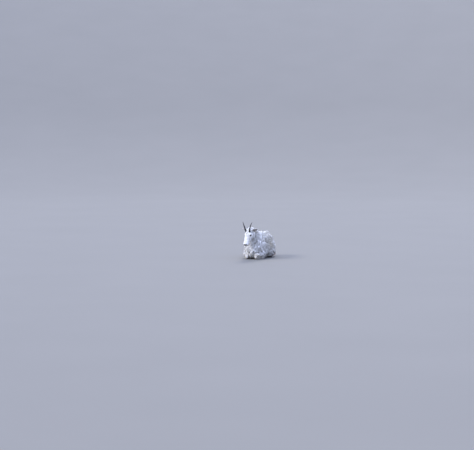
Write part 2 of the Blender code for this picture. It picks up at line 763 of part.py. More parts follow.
def eyelids(side, sides=4):
    """The thickened rims of both lids as one ring."""
    outline, facing = almond(side, LID_THICK * 0.6)
    centre = np.asarray(eye_point(side), float)
    points = []
    for flat in outline:
        middle = centre + flat + facing * math.sqrt(LID_REACH**2 - flat @ flat)
        out = flat / np.linalg.norm(flat)
        for j in range(sides):
            spin = 2 * math.pi * j / sides
            points.append(middle + LID_THICK * (out * math.cos(spin) + facing * math.sin(spin)))
    faces = []
    for k in range(len(outline)):
        low = k * sides
        high = (k + 1) % len(outline) * sides
        for j in range(sides):
            beside = (j + 1) % sides
            faces.append((low + j, low + beside, high + beside))
            faces.append((low + j, high + beside, high + j))
    return mesh_object("lids", points, faces)


def eye_opening(side):
    """The gap between the lids, from the middle of the eyeball outwards."""
    outline, facing = almond(side, 0.0)
    centre = np.asarray(eye_point(side), float)
    return loft("opening", [centre + outline * 0.9 + facing * 0.004, centre + outline * 1.12 + facing * 0.034])


def tube(name, path, sizes, sides):
    """A closed tube along a path, with its own radius at each point."""
    _, across, over = frames_along(path)
    turns = np.linspace(0, 2 * math.pi, sides, endpoint=False)
    rings = []
    for k, size in enumerate(sizes):
        rings.append(path[k] + size * (np.outer(np.cos(turns), across[k]) + np.outer(np.sin(turns), over[k])))
    return loft(name, rings)


def mouth_groove(head):
    """A thin tube along the closed lips, which cuts their line into the muzzle."""
    surface = surface_of(head)
    path = []
    for share in np.linspace(-1, 1, 19):
        angle = math.radians(MOUTH_HALF_TURN * share)
        start = head_point(MOUTH_AT[0], 0.0, MOUTH_AT[2] - MOUTH_DROP * share**2)
        path.append(surface.ray_cast(start, head_way(-math.cos(angle), math.sin(angle), 0.0))[0])
    sizes = MOUTH_GROOVE * (0.35 + 0.65 * np.sin(np.linspace(0, math.pi, len(path))))
    return tube("groove", np.array(path), sizes, 4)


def nostril(head, side):
    """A comma-shaped slit that curls up and out from the front of the nose."""
    surface = surface_of(head)
    path = []
    shares = np.linspace(0, 1, 6)
    for share in shares:
        turn = math.radians(NOSTRIL_TURNS[0] + (NOSTRIL_TURNS[1] - NOSTRIL_TURNS[0]) * share)
        way = head_way(-math.cos(turn), -side * math.sin(turn), 0.02 + 0.42 * share)
        path.append(surface.ray_cast(head_point(*NOSTRIL_FROM), way)[0])
    swell = np.sin(math.pi * np.minimum(1.0, 1.25 * shares + 0.12))
    sizes = NOSTRIL_WIDTHS[0] + (NOSTRIL_WIDTHS[1] - NOSTRIL_WIDTHS[0]) * swell
    return tube("nostril", np.array(path), sizes, 5)


def horn(name, side, grow=0.0):
    """A slender horn that rises, leans out and curves back, with rings of growth at its base."""
    spot = np.array([HORN_AT[0], -side * HORN_AT[1], HORN_AT[2]])
    path = []
    ways = []
    steps = 60
    for share in np.linspace(0, 1, steps + 1):
        lean = HORN_LEAN[0] + (HORN_LEAN[1] - HORN_LEAN[0]) * share**1.3
        splay = HORN_SPLAY[0] + (HORN_SPLAY[1] - HORN_SPLAY[0]) * share
        way = np.array([math.cos(lean), -side * splay, math.sin(lean)])
        way /= np.linalg.norm(way)
        path.append(spot.copy())
        ways.append(way)
        spot = spot + way * (HORN_LENGTH + HORN_ROOT) / steps
    turns = np.linspace(0, 2 * math.pi, HORN_SIDES, endpoint=False)
    rings = []
    for share in np.linspace(0, 1, HORN_RINGS):
        k = int(round(share * steps))
        way = ways[k]
        across = np.cross(way, [1.0, 0.0, 0.0])
        across /= np.linalg.norm(across)
        over = np.cross(across, way)
        radius = HORN_TIP_RADIUS + (HORN_RADIUS - HORN_TIP_RADIUS) * (1 - share) ** 0.85
        ripple = 0.045 * math.sin(2 * math.pi * share * HORN_RIPPLES) * smooth(0.55, 0.15, share)
        radius = radius * (1 + ripple) + grow
        ring = np.outer(np.cos(turns) * radius * 0.92, across) + np.outer(np.sin(turns) * radius, over)
        rings.append(in_head(path[k] + ring))
    return loft(name, rings)


def ear(name, side):
    """A narrow, pointed ear: a cupped leaf whose hollow faces forwards and out."""
    root = np.array([EAR_AT[0], -side * EAR_AT[1], EAR_AT[2]])
    way = np.array([EAR_WAY[0], -side * EAR_WAY[1], EAR_WAY[2]])
    way /= np.linalg.norm(way)
    open_way = np.array([EAR_OPENS[0], -side * EAR_OPENS[1], EAR_OPENS[2]])
    open_way -= way * (open_way @ way)
    open_way /= np.linalg.norm(open_way)
    across = np.cross(way, open_way)
    rings = []
    for share in EAR_RINGS:
        half = along(*EAR_OUTLINE, share) * EAR_HALF
        cup = half * along((0, 0.3, 1.0), (1.0, 0.75, 0.35), share)
        wall = EAR_WALL * along((0, 0.5, 1.0), (1.3, 1.0, 0.55), share)
        full = smooth(0.16, 0.06, share)
        centre = root + way * (EAR_LENGTH * share) - open_way * 0.010 * math.sin(math.pi * share)
        ring = []
        for turn in np.linspace(-1, 1, 7):
            angle = turn * math.pi / 2
            ring.append(centre + across * math.sin(angle) * half - open_way * math.cos(angle) * cup)
        for turn in (0.5, 0.0, -0.5):
            angle = turn * math.pi / 2
            depth = max(cup - wall, 0.0) * (1 - full) - 0.4 * cup * full
            ring.append(centre + across * math.sin(angle) * (half - wall / 2) - open_way * math.cos(angle) * depth)
        rings.append(in_head(ring))
    return loft(name, rings)


def toe(name, at, way, up, size, grow=0.0):
    """One toe of a hoof: a blunt wedge from the coronet to its tip, flat along the sole."""
    at = np.asarray(at, float)
    way = np.asarray(way, float) / np.linalg.norm(way)
    up = np.asarray(up, float)
    up = up - way * (up @ way)
    up /= np.linalg.norm(up)
    across = np.cross(way, up)
    length, width, height = size
    angles = np.linspace(0, 2 * math.pi, 10, endpoint=False)
    rings = []
    for share, half, high in TOE_OUTLINE:
        y = np.cos(angles) * half * width / 2
        z = np.maximum(np.sin(angles), -TOE_SOLE) * high - (1 - high) * TOE_SOLE
        rings.append(at + way * length * share + np.outer(y, across) + np.outer(z * height / 2, up))
    made = loft(name, rings)
    return fattened(made, grow) if grow else made


def fattened(thing, grow):
    mesh = thing.data
    moved = [v.co + v.normal * grow for v in mesh.vertices]
    for vertex, place in zip(mesh.vertices, moved):
        vertex.co = place
    mesh.update()
    return thing


def hooves(grow=0.0):
    """The two toes of each foot, fore feet folded back under and hind feet pointing forward."""
    made = []
    for side, side_name in ((-1, "left"), (1, "right")):
        for spread, toe_name in ((-1, "inner"), (1, "outer")):
            x, y, z = FORE_HOOF_AT
            at = (x, side * (y + spread * TOE_APART) + sway(x), z)
            way = (1.0, side * (0.18 + spread * 0.10), -0.05)
            made.append(toe(f"hoof_fore_{side_name}_{toe_name}", at, way, (0, 0, -1), FORE_TOE, grow))
            x, y, z = HIND_HOOF_AT
            at = (x, side * (y + spread * TOE_APART) + sway(x), z)
            way = (-1.0, side * (0.12 + spread * 0.12), -0.06)
            made.append(toe(f"hoof_hind_{side_name}_{toe_name}", at, way, (0, 0, 1), HIND_TOE, grow))
    return made


def box(name, low, high):
    corners = [(x, y, z) for x in (low[0], high[0]) for y in (low[1], high[1]) for z in (low[2], high[2])]
    faces = [(0, 1, 3, 2), (4, 6, 7, 5), (0, 4, 5, 1), (2, 3, 7, 6), (0, 2, 6, 4), (1, 5, 7, 3)]
    return mesh_object(name, corners, faces)


def half_space(name, at, way, grow=0.0):
    """A large block whose one face passes through a point, lying on the side that a vector points to."""
    way = Vector(way).normalized()
    made = box(name, (-2, -2, -grow), (2, 2, 3))
    turn = way.to_track_quat("Z", "Y").to_matrix().to_4x4()
    made.data.transform(turn)
    for vertex in made.data.vertices:
        vertex.co += Vector(at)
    return made


def region(name, grow):
    """The space that holds one part of the body, grown or shrunk by half the gap."""
    if name == "neck":
        return half_space(name, NECK_AT, NECK_WAY, grow)
    if name == "tail":
        low, high = TAIL_BOX
        shift = SWAY
    else:
        low, high = FORELEG_BOX if name.startswith("foreleg") else HIND_LEG_BOX
        shift = 0.0
        if name.endswith("left"):
            low, high = (low[0], -high[1], low[2]), (high[0], -low[1], high[2])
    low = (low[0] - grow, low[1] + shift - grow, low[2] - grow)
    high = (high[0] + grow, high[1] + shift + grow, high[2] + grow)
    return box(name, low, high)


def copy_of(thing, name):
    made = bpy.data.objects.new(name, thing.data.copy())
    bpy.context.scene.collection.objects.link(made)
    return made


def body_nodes(core):
    rings = neck_ring(core, *COLLAR) + neck_ring(core, *NAPE) + neck_ring(core, *POLL)
    whole = combine(core, body_locks(core) + rings, "UNION")
    combine(whole, [box("floor", (-2, -2, -1), (2, 2, 0))] + hooves(GAP * 1.4), "DIFFERENCE")
    nodes = []
    for name in REGIONS:
        part = copy_of(whole, name)
        combine(part, [region(name, -GAP / 2)], "INTERSECT")
        if name == "neck":
            headward = tuple(-Vector(head_way(*HEAD_CUT_WAY)))
            combine(part, [half_space("cut", head_point(*HEAD_CUT_AT), headward, GAP / 2)], "DIFFERENCE")
        nodes.append(part)
    whole.name = "torso"
    combine(whole, [region(name, GAP / 2) for name in REGIONS], "DIFFERENCE")
    return [whole] + nodes


def head_locks(head):
    """Crown tuft, cheek ruff and beard."""
    surface = surface_of(head)
    rng = np.random.default_rng(LOCK_SEED + 2)
    made = []

    def add(start, look, way, length, width, droop):
        hit, normal, _, _ = surface.ray_cast(start, look)
        line, ups = hang(surface, hit, normal, way, length * rng.uniform(0.88, 1.12), droop, 0.005, 3)
        made.append(lock(f"head_lock_{len(made)}", line, ups, width * rng.uniform(0.88, 1.12), LOCK_THICK * 0.8))

    for s, length in BEARD_ROWS:
        for y in BEARD_ACROSS:
            start = head_point(s, 0.0, -0.010)
            reach = length * (1 - 9 * abs(y))
            add(start, head_way(0.0, y, -0.050), Vector((0.15, 0.0, -1.0)), reach, BEARD_WIDTH, 0.1)
    for side in (-1, 1):
        for s, d in RUFF_AT:
            way = head_way(0.65, side * 0.30, -0.55)
            add(head_point(s, 0.0, d), head_way(0.0, side, 0.0), way, RUFF_LENGTH, RUFF_WIDTH, 0.35)
    for s, length in CROWN_ROWS:
        for y in CROWN_ACROSS:
            way = head_way(1.0, y * 8, 0.30)
            add(head_point(s, 0.0, 0.0), head_way(0.0, y, 0.060), way, length, CROWN_WIDTH, 0.12)
    return made


def head_node(core):
    head = loft("head", [in_head(ring) for ring in head_rings(HEAD_RINGS, HEAD_SIDES)])
    groove = mouth_groove(head)
    nostrils = [nostril(head, -1), nostril(head, 1)]
    combine(head, [nape_form(COAT_CORE)], "UNION")
    locks = head_locks(head) + neck_ring(core, *NAPE) + neck_ring(core, *POLL)
    combine(head, locks + [eyelids(-1), eyelids(1)], "UNION")
    cutters = [groove] + nostrils
    for side in (-1, 1):
        cutters.append(ball("socket", eye_point(side), EYE_RADIUS + GAP))
        cutters.append(eye_opening(side))
        cutters.append(horn("horn_socket", side, GAP * 1.5))
        cutters.append(fattened(ear("ear_socket", side), GAP * 1.6))
    cutters.append(half_space("cut", head_point(*HEAD_CUT_AT), head_way(*HEAD_CUT_WAY), GAP / 2))
    combine(head, cutters, "DIFFERENCE")
    return head


def small_head_nodes():
    made = []
    for side, name in ((-1, "left"), (1, "right")):
        made.append(ball(f"eye_{name}", eye_point(side), EYE_RADIUS))
        made.append(horn(f"horn_{name}", side))
        made.append(ear(f"ear_{name}", side))
    return made


def centre_on_floor(nodes):
    """Moves the animal so that the middle of its box is over the origin."""
    corners = np.array([v.co for node in nodes for v in node.data.vertices])
    middle = (corners.min(0) + corners.max(0)) / 2
    for node in nodes:
        for vertex in node.data.vertices:
            vertex.co -= Vector((middle[0], middle[1], 0.0))


def paint(node):
    colour = FLESH
    name = "coat"
    roughness = 0.9
    if node.name.startswith("horn"):
        name, colour, roughness = "horn", HORN_BLACK, 0.4
    elif node.name.startswith("hoof"):
        name, colour, roughness = "hoof", HOOF_BLACK, 0.5
    elif node.name.startswith("eye"):
        name, colour, roughness = "eye", EYE_BROWN, 0.08
    node.data.materials.clear()
    node.data.materials.append(material(name, colour, roughness))
    node.data.shade_smooth()
    node.data.set_sharp_from_angle(angle=SHARP_ANGLE)


def main():
    for thing in list(bpy.data.objects):
        bpy.data.objects.remove(thing)
    core = body_core()
    nodes = [head_node(core)] + body_nodes(core) + small_head_nodes() + hooves()
    for node in nodes:
        weld(node)
    centre_on_floor(nodes)
    for node in nodes:
        paint(node)


main()
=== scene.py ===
"""Looks of a mountain goat nanny in winter coat, bedded down with her head turned.

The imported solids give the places. The skin repeats the animal's named sizes without the coat, as one
closed surface for the whole body. The coat is grown over it as solid, tapered strands: long strands in
clumps and locks on the body, an under coat between them, and short fur on the face, ears and feet.
Left and right are the animal's own, and it faces -X. A side of -1 is its left, and 1 its right.
"""

import math

import bpy
import numpy as np
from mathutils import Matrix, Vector
from mathutils.bvhtree import BVHTree
from mathutils.kdtree import KDTree


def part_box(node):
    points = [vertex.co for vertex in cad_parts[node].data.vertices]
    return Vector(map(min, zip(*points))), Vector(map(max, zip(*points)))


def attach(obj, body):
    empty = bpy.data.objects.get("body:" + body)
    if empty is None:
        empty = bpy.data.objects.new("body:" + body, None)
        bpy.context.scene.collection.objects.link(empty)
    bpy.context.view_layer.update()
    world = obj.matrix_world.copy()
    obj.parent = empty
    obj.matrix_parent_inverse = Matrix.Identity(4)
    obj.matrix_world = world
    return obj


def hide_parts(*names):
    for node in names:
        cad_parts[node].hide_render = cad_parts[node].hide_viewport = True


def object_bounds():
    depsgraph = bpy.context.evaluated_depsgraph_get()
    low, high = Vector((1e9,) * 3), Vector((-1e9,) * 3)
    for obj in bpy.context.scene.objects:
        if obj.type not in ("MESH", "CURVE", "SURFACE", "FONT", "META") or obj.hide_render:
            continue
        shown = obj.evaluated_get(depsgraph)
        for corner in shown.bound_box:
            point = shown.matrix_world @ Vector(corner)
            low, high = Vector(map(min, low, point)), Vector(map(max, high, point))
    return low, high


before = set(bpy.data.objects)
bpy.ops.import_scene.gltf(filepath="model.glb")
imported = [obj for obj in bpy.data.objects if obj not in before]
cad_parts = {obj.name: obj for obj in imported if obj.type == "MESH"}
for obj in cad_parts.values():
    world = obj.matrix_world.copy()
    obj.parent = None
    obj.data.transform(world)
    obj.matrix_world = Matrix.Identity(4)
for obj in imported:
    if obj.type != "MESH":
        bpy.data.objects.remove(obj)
CAD_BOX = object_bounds()

# Sizes of the body under its coat, in metres, as in the source of the solids.
COAT_CORE = 0.018
LOCK_LIFT = 0.025
FLOOR_CLEAR = 0.003
SWAY_FROM = 0.0
SWAY_TO = 0.38
SWAY = 0.035

TRUNK_X = (-0.372, -0.335, -0.265, -0.185, -0.09, 0.00, 0.09, 0.18, 0.26, 0.33, 0.372)
TRUNK_TOP = (0.240, 0.325, 0.386, 0.408, 0.402, 0.386, 0.378, 0.372, 0.352, 0.308, 0.230)
TRUNK_MID = (0.180, 0.175, 0.172, 0.168, 0.165, 0.160, 0.155, 0.152, 0.150, 0.150, 0.150)
TRUNK_LOW = (0.110, 0.045, 0.008, -0.012, -0.016, -0.016, -0.016, -0.010, 0.008, 0.040, 0.090)
TRUNK_HALF = (0.042, 0.090, 0.118, 0.131, 0.140, 0.146, 0.149, 0.145, 0.130, 0.100, 0.044)
TRUNK_SIDES = 56
TRUNK_RINGS = 90
RIDGE_POWER = 1.75
BELLY_POWER = 2.5

# Legs of one side: masses as name, centre, radii and lean, and limbs as name, knots and radii.
LEG_MASSES = (
    ("shoulder", (-0.228, 0.080, 0.228), (0.095, 0.060, 0.135), 0.35),
    ("haunch", (0.205, 0.076, 0.166), (0.142, 0.070, 0.140), 0.30),
)
LEG_LIMBS = (
    (
        "upper_arm",
        ((-0.300, 0.078, 0.172), (-0.255, 0.104, 0.128), (-0.207, 0.118, 0.092)),
        (0.054, 0.049, 0.041),
    ),
    (
        "forearm",
        ((-0.207, 0.120, 0.090), (-0.288, 0.108, 0.072), (-0.366, 0.082, 0.045)),
        (0.039, 0.032, 0.027),
    ),
    (
        "fore_cannon",
        (
            (-0.370, 0.081, 0.034),
            (-0.316, 0.108, 0.021),
            (-0.245, 0.140, 0.021),
            (-0.208, 0.152, 0.0225),
        ),
        (0.0255, 0.0175, 0.0185, 0.0165),
    ),
    (
        "thigh",
        ((0.258, 0.056, 0.236), (0.150, 0.104, 0.168), (0.048, 0.128, 0.116)),
        (0.072, 0.070, 0.053),
    ),
    (
        "shank",
        ((0.044, 0.134, 0.102), (0.158, 0.142, 0.072), (0.286, 0.144, 0.048)),
        (0.049, 0.040, 0.0265),
    ),
    (
        "hind_cannon",
        ((0.312, 0.144, 0.043), (0.229, 0.158, 0.0235), (0.136, 0.172, 0.022), (0.084, 0.178, 0.0245)),
        (0.021, 0.0195, 0.0195, 0.0175),
    ),
)
NECK_KNOTS = (
    (-0.160, 0.0, 0.250),
    (-0.235, 0.008, 0.325),
    (-0.290, 0.018, 0.392),
    (-0.330, 0.028, 0.440),
)
NECK_RADII = (0.130, 0.108, 0.085, 0.066)
NECK_FLAT = 0.80
TAIL_KNOTS = ((0.338, SWAY, 0.280), (0.378, SWAY, 0.258), (0.405, SWAY, 0.210))
TAIL_RADII = (0.024, 0.018, 0.011)
TAIL_FLAT = 1.4

FORE_TOE = (0.052, 0.0195, 0.033)
HIND_TOE = (0.054, 0.0195, 0.035)
TOE_OUTLINE = ((0, 0.25, 0.55, 0.82, 1), (0.80, 0.96, 1.0, 0.80, 0.40), (1.0, 0.98, 0.80, 0.52, 0.26))
TOE_SOLE = 0.62
TOE_APART = 0.0108
FORE_HOOF_AT = (-0.210, 0.153, 0.0235)
HIND_HOOF_AT = (0.086, 0.178, 0.0225)

# The head, in its own directions: distance behind the nose, to the animal's left, towards the forehead.
HEAD_S = (0.000, 0.012, 0.034, 0.068, 0.104, 0.140, 0.178, 0.218, 0.258, 0.296)
HEAD_TOP = (0.012, 0.029, 0.036, 0.040, 0.047, 0.057, 0.067, 0.071, 0.064, 0.044)
HEAD_LOW = (-0.014, -0.031, -0.040, -0.040, -0.046, -0.058, -0.070, -0.078, -0.073, -0.055)
HEAD_HALF = (0.020, 0.036, 0.043, 0.043, 0.049, 0.058, 0.065, 0.066, 0.060, 0.046)
HEAD_RINGS = 120
HEAD_SIDES = 88
HEAD_PITCH = math.radians(56)
HEAD_YAW = math.radians(13)
NOSE = np.array((-0.517, 0.048, 0.236))
# Swellings and hollows of the face: place, reach and height, the same on both sides.
HEAD_FORMS = (
    ((0.190, 0.050, 0.050), 0.018, 0.006),
    ((0.178, 0.056, 0.027), 0.018, 0.007),
    ((0.160, 0.050, 0.008), 0.018, -0.002),
    ((0.235, 0.050, -0.022), 0.030, 0.005),
    ((0.125, 0.036, 0.010), 0.026, -0.004),
    ((0.018, 0.026, -0.006), 0.012, 0.003),
    ((0.008, 0.017, 0.014), 0.008, 0.003),
    ((0.030, 0.000, -0.038), 0.014, 0.003),
    ((0.235, 0.026, 0.068), 0.020, 0.005),
    ((0.150, 0.040, 0.030), 0.010, -0.0022),
    ((0.040, 0.036, -0.022), 0.012, 0.0018),
    ((0.060, 0.040, -0.012), 0.012, -0.0014),
    ((0.110, 0.000, 0.046), 0.022, 0.0016),
)

EYE_RADIUS = 0.0165
CORNEA_RISE = 0.055
PUPIL_HALF = (0.175, 0.062)
EYE_AT = (0.178, 0.0440, 0.027)
EYE_FACING = (-0.25, 0.93, 0.22)
EYE_LENGTH_WAY = (0.86, 0.0, -0.50)
LID_HALF_LENGTH = 0.0145
LID_HALF_HEIGHT = 0.0092
LID_THICK = 0.0026
LID_REACH = 0.0195

MOUTH_AT = (0.036, 0.0, -0.013)
MOUTH_DROP = 0.007
MOUTH_HALF_TURN = 136
MOUTH_GROOVE = 0.0030
NOSTRIL_FROM = (0.030, 0.0, 0.004)
NOSTRIL_TURNS = (20, 64)
NOSTRIL_WIDTHS = (0.0016, 0.0050)

HORN_AT = (0.222, 0.032, 0.056)
HORN_LENGTH = 0.158
HORN_RADIUS = 0.0170
HORN_TIP_RADIUS = 0.0022
HORN_ROOT = 0.018
HORN_LEAN = (0.95, 0.33)
HORN_SPLAY = (0.24, 0.50)
HORN_FLAT = 0.92
GROWTH_RINGS = 15
RING_HEIGHT = 0.030
FINE_RINGS = 53
FINE_HEIGHT = 0.008

EAR_AT = (0.246, 0.046, 0.022)
EAR_LENGTH = 0.118
EAR_HALF = 0.027
EAR_WALL = 0.0050
EAR_WAY = (0.38, 0.90, 0.08)
EAR_OPENS = (-0.80, 0.45, 0.10)
EAR_OUTLINE = ((0, 0.12, 0.40, 0.70, 0.90, 1.0), (0.62, 0.80, 1.0, 0.72, 0.32, 0.05))

# The skin.
BODY_VOXEL = 0.0065
HEAD_VOXEL = 0.0020
FLESH_NODES = (
    "head",
    "neck",
    "torso",
    "tail",
    "foreleg_left",
    "foreleg_right",
    "hind_leg_left",
    "hind_leg_right",
    "ear_left",
    "ear_right",
)

# Lengths of the hair, in metres: the body's, what the neck's crest and the breast add, then by places.
BODY_HAIR = 0.118
CREST_MORE = 0.022
BREAST_MORE = 0.026
LEG_HAIR = 0.020
KNEE_HAIR = 0.009
RUFF_HAIR = 0.076
CROWN_HAIR = 0.050
CHEEK_MORE = 0.022
JAW_MORE = 0.020
FACE_HAIR = (
    (0.0, 0.03, 0.08, 0.13, 0.18, 0.23, 0.28),
    (0.003, 0.005, 0.008, 0.010, 0.014, 0.024, 0.040),
)
BEARD_HAIR = ((0.04, 0.078, 0.11), (0.072, 0.118, 0.096))
RIDGE_RISE = 0.046
LONG_FROM = 0.040

# The coat: how many strands of each kind, their widths, and how clumps and locks gather them.
SEED = 11
LONG_STRANDS = 42000
UNDER_STRANDS = 24000
SHORT_STRANDS = 23000
LONG_WIDTHS = (0.0022, 0.0036)
UNDER_WIDTHS = (0.0040, 0.0062)
SHORT_WIDEST = 0.0026
UNDER_LONGEST = 0.050
LONG_TIMES = (0.0, 0.22, 0.48, 0.76, 1.0)
LONG_PROFILE = (0.75, 1.0, 0.9, 0.6, 0.0)
SHORT_TIMES = (0.0, 0.5, 1.0)
SHORT_PROFILE = (0.8, 1.0, 0.0)
LOCK_SPACING = 0.085
CLUMP_SPACING = 0.021
LOCK_TURN = 0.22
CLUMP_TURN = 0.13
GUIDE_STEPS = 7
ROOT_SINK = 0.003
LOOSE_SHARE = 0.20
LOOSE_PULL = (0.1, 0.4)
HELD_PULL = (0.50, 0.88)
LOOSE_SCATTER = 0.008
HELD_SCATTER = 0.0030
WAVE_LENGTH = 0.055
WAVE_HEIGHT = 0.0030
BAND_ENDS = (-0.215, -0.06, 0.10, 0.25)
BAND_NAMES = ("breast", "shoulder", "barrel", "loin", "rump")
PATCH = 0.003
BOX_ROOM = 0.006
EAR_ROOM = 0.038

# Colours.
CREAM = (0.93, 0.92, 0.90)
FLANK_TINT = (0.78, 0.71, 0.56)
STAIN = (0.56, 0.35, 0.19)
DUST = (0.72, 0.67, 0.58)
NOSE_BLACK = (0.028, 0.024, 0.023)
# Pink skin inside the ears, darkened further with painted shade for the hollow.
EAR_PINK_AND_HOLLOW_SHADE = (0.30, 0.21, 0.18)
SKIN_SHADE = 0.95
# Painted shade: the strands are darkened towards their roots, where the coat shades itself.
PAINTED_ROOT_SHADE = 0.90
IRIS_STOPS = (
    (0.0, (0.020, 0.010, 0.005, 1)),
    (0.27, (0.070, 0.034, 0.012, 1)),
    (0.34, (0.012, 0.007, 0.005, 1)),
    (0.44, (0.10, 0.075, 0.06, 1)),
)

# The photograph: frame, where the near eye falls in it, metres to a pixel there, and the viewing angle.
PHOTO_WIDTH = 474
PHOTO_HEIGHT = 450
EYE_PIXEL = (250.2, 235.2)
METRES_PER_PIXEL = 0.0162
CAMERA_AZIMUTH = -67
CAMERA_ELEVATION = 4
CAMERA_DISTANCE = 22.0

# The studio: the floor's level reach, its bend and its slope far out, and the lights.
FLOOR_REACH = 18.0
BEND = 44.0
FLOOR_SLOPE = 22
SLOPE_REACH = 42.0
LIGHT_SPREAD = 18
KEY_WAY = (0.24, -0.80, 0.55)
KEY_STRENGTH = 2.8
KEY_COLOUR = (1.0, 0.965, 0.92)
RIM_WAY = (-0.70, 0.15, 0.70)
RIM_STRENGTH = 1.8
RIM_COLOUR = (1.0, 0.99, 0.98)
SURROUND_COLOUR = (0.57, 0.67, 1.0, 1.0)
SURROUND_STRENGTH = 2.2


def along(knots, values, x):
    """Smooth curve through the values at the knots, with no overshoot to speak of."""
    knots = np.asarray(knots, float)
    values = np.asarray(values, float)
    slopes = np.gradient(values, knots)
    i = np.clip(np.searchsorted(knots, x) - 1, 0, len(knots) - 2)
    step = knots[i + 1] - knots[i]
    t = np.clip((x - knots[i]) / step, 0, 1)
    a = (1 + 2 * t) * (1 - t) ** 2 * values[i] + t * (1 - t) ** 2 * step * slopes[i]
    return a + t * t * (3 - 2 * t) * values[i + 1] + t * t * (t - 1) * step * slopes[i + 1]


def smooth(low, high, x):
    """0 at the low value, 1 at the high one, and an even curve between; low may be above high."""
    t = np.clip((x - low) / (high - low), 0, 1)
    return t * t * (3 - 2 * t)


def sway(x):
    """How far the middle line of the body is off to the animal's right."""
    return SWAY * smooth(SWAY_FROM, SWAY_TO, x)


def power_wave(value, power):
    """A sine or cosine, squared up or sharpened by a power."""
    return np.sign(value) * np.abs(value) ** (2 / power)


def unit(vectors):
    """The same ways, one long."""
    vectors = np.asarray(vectors, float)
    return vectors / np.maximum(np.linalg.norm(vectors, axis=-1, keepdims=True), 1e-12)


def dot(a, b):
    """How far each vector reaches along its partner."""
    return (a * b).sum(axis=-1)


# The head's own directions, and places in them.
HEAD_FLAT = np.array((-math.cos(HEAD_YAW), math.sin(HEAD_YAW), 0.0))
HEAD_BACK = -HEAD_FLAT * math.cos(HEAD_PITCH) + np.array((0.0, 0.0, math.sin(HEAD_PITCH)))
HEAD_CROWN = HEAD_FLAT * math.sin(HEAD_PITCH) + np.array((0.0, 0.0, math.cos(HEAD_PITCH)))
HEAD_LEFT = np.cross(HEAD_CROWN, -HEAD_BACK)
HEAD_FRAME = np.stack([HEAD_BACK, HEAD_LEFT, HEAD_CROWN])


def in_head(points):
    """Places given in the head's directions, in the body's."""
    return NOSE + np.asarray(points, float) @ HEAD_FRAME


def head_way(s, y, d):
    """A way given in the head's directions, in the body's."""
    return unit(np.array((s, y, d)) @ HEAD_FRAME)


def head_coordinates(points):
    """Distance behind the nose, to the left and towards the forehead."""
    return (points - NOSE) @ HEAD_FRAME.T


def eye_point(side):
    """The middle of an eyeball."""
    return in_head((EYE_AT[0], -side * EYE_AT[1], EYE_AT[2]))


# From the body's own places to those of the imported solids.
EYE_LOW, EYE_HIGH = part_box("eye_left")
SHIFT = np.array((EYE_LOW + EYE_HIGH) / 2) - eye_point(-1)


def loft(rings):
    """Points and triangles of a closed skin over rings, with a point closing each end."""
    rings = np.asarray(rings, float)
    count, sides = rings.shape[:2]
    points = np.concatenate([rings.reshape(-1, 3), rings[:1].mean(1), rings[-1:].mean(1)])
    k = np.arange(sides)
    after = (k + 1) % sides
    low = (np.arange(count - 1) * sides)[:, None]
    first = np.stack([low + k, low + after, low + sides + after], axis=-1).reshape(-1, 3)
    second = np.stack([low + k, low + sides + after, low + sides + k], axis=-1).reshape(-1, 3)
    last = (count - 1) * sides
    start_fan = np.stack([np.full(sides, count * sides), after, k], axis=-1)
    end_fan = np.stack([np.full(sides, count * sides + 1), last + k, last + after], axis=-1)
    return outward(points, np.concatenate([first, second, start_fan, end_fan]))


def outward(points, faces):
    """The same triangles, turned so that a closed mesh has a positive volume."""
    corners = points[faces]
    volume = dot(corners[:, 0], np.cross(corners[:, 1], corners[:, 2])).sum()
    return points, faces[:, ::-1] if volume < 0 else faces


def frames_along(path):
    """Two cross vectors and the tangent at each point of a path."""
    tangents = unit(np.gradient(path, axis=0))
    up = np.array([0.0, 0.0, 1.0])
    if abs(tangents[0] @ up) > 0.9:
        up = np.array([1.0, 0.0, 0.0])
    across = unit(np.cross(tangents, up))
    return tangents, across, np.cross(across, tangents)


def limb(knots, radii, flat=1.0, sides=32, steps=40):
    """A round-ended limb through the knots, its cross-section flat times as wide as it is high."""
    knots = np.asarray(knots, float)
    reach = np.concatenate([[0], np.cumsum(np.linalg.norm(np.diff(knots, axis=0), axis=1))])
    stops = np.linspace(0, reach[-1], steps)
    path = np.stack([along(reach, knots[:, k], stops) for k in range(3)], axis=1)
    wide = along(reach, radii, stops)
    tangents, across, over = frames_along(path)
    angles = np.linspace(0, 2 * math.pi, sides, endpoint=False)
    rings = []
    for turn in np.radians((80, 60, 40, 20)):
        rings.append((path[0] - tangents[0] * wide[0] * math.sin(turn), wide[0] * math.cos(turn), 0))
    rings += [(path[k], wide[k], k) for k in range(steps)]
    for turn in np.radians((20, 40, 60, 80)):
        end = path[-1] + tangents[-1] * wide[-1] * math.sin(turn)
        rings.append((end, wide[-1] * math.cos(turn), -1))
    made = []
    for centre, radius, k in rings:
        ring = np.outer(np.cos(angles) * radius * flat, across[k])
        made.append(centre + ring + np.outer(np.sin(angles) * radius, over[k]))
    return loft(made)


def blob(centre, radii, lean, sides=40, steps=26):
    """An ellipsoid, leaning by an angle in the plane of X and Z."""
    angles = np.linspace(0, 2 * math.pi, sides, endpoint=False)
    rings = []
    for level in np.radians(np.linspace(-85, 85, steps)):
        x = np.cos(angles) * math.cos(level) * radii[0]
        y = np.sin(angles) * math.cos(level) * radii[1]
        z = np.full(sides, math.sin(level) * radii[2])
        turned = [x * math.cos(lean) + z * math.sin(lean), y, z * math.cos(lean) - x * math.sin(lean)]
        rings.append(np.stack(turned, axis=1) + np.asarray(centre))
    return loft(rings)


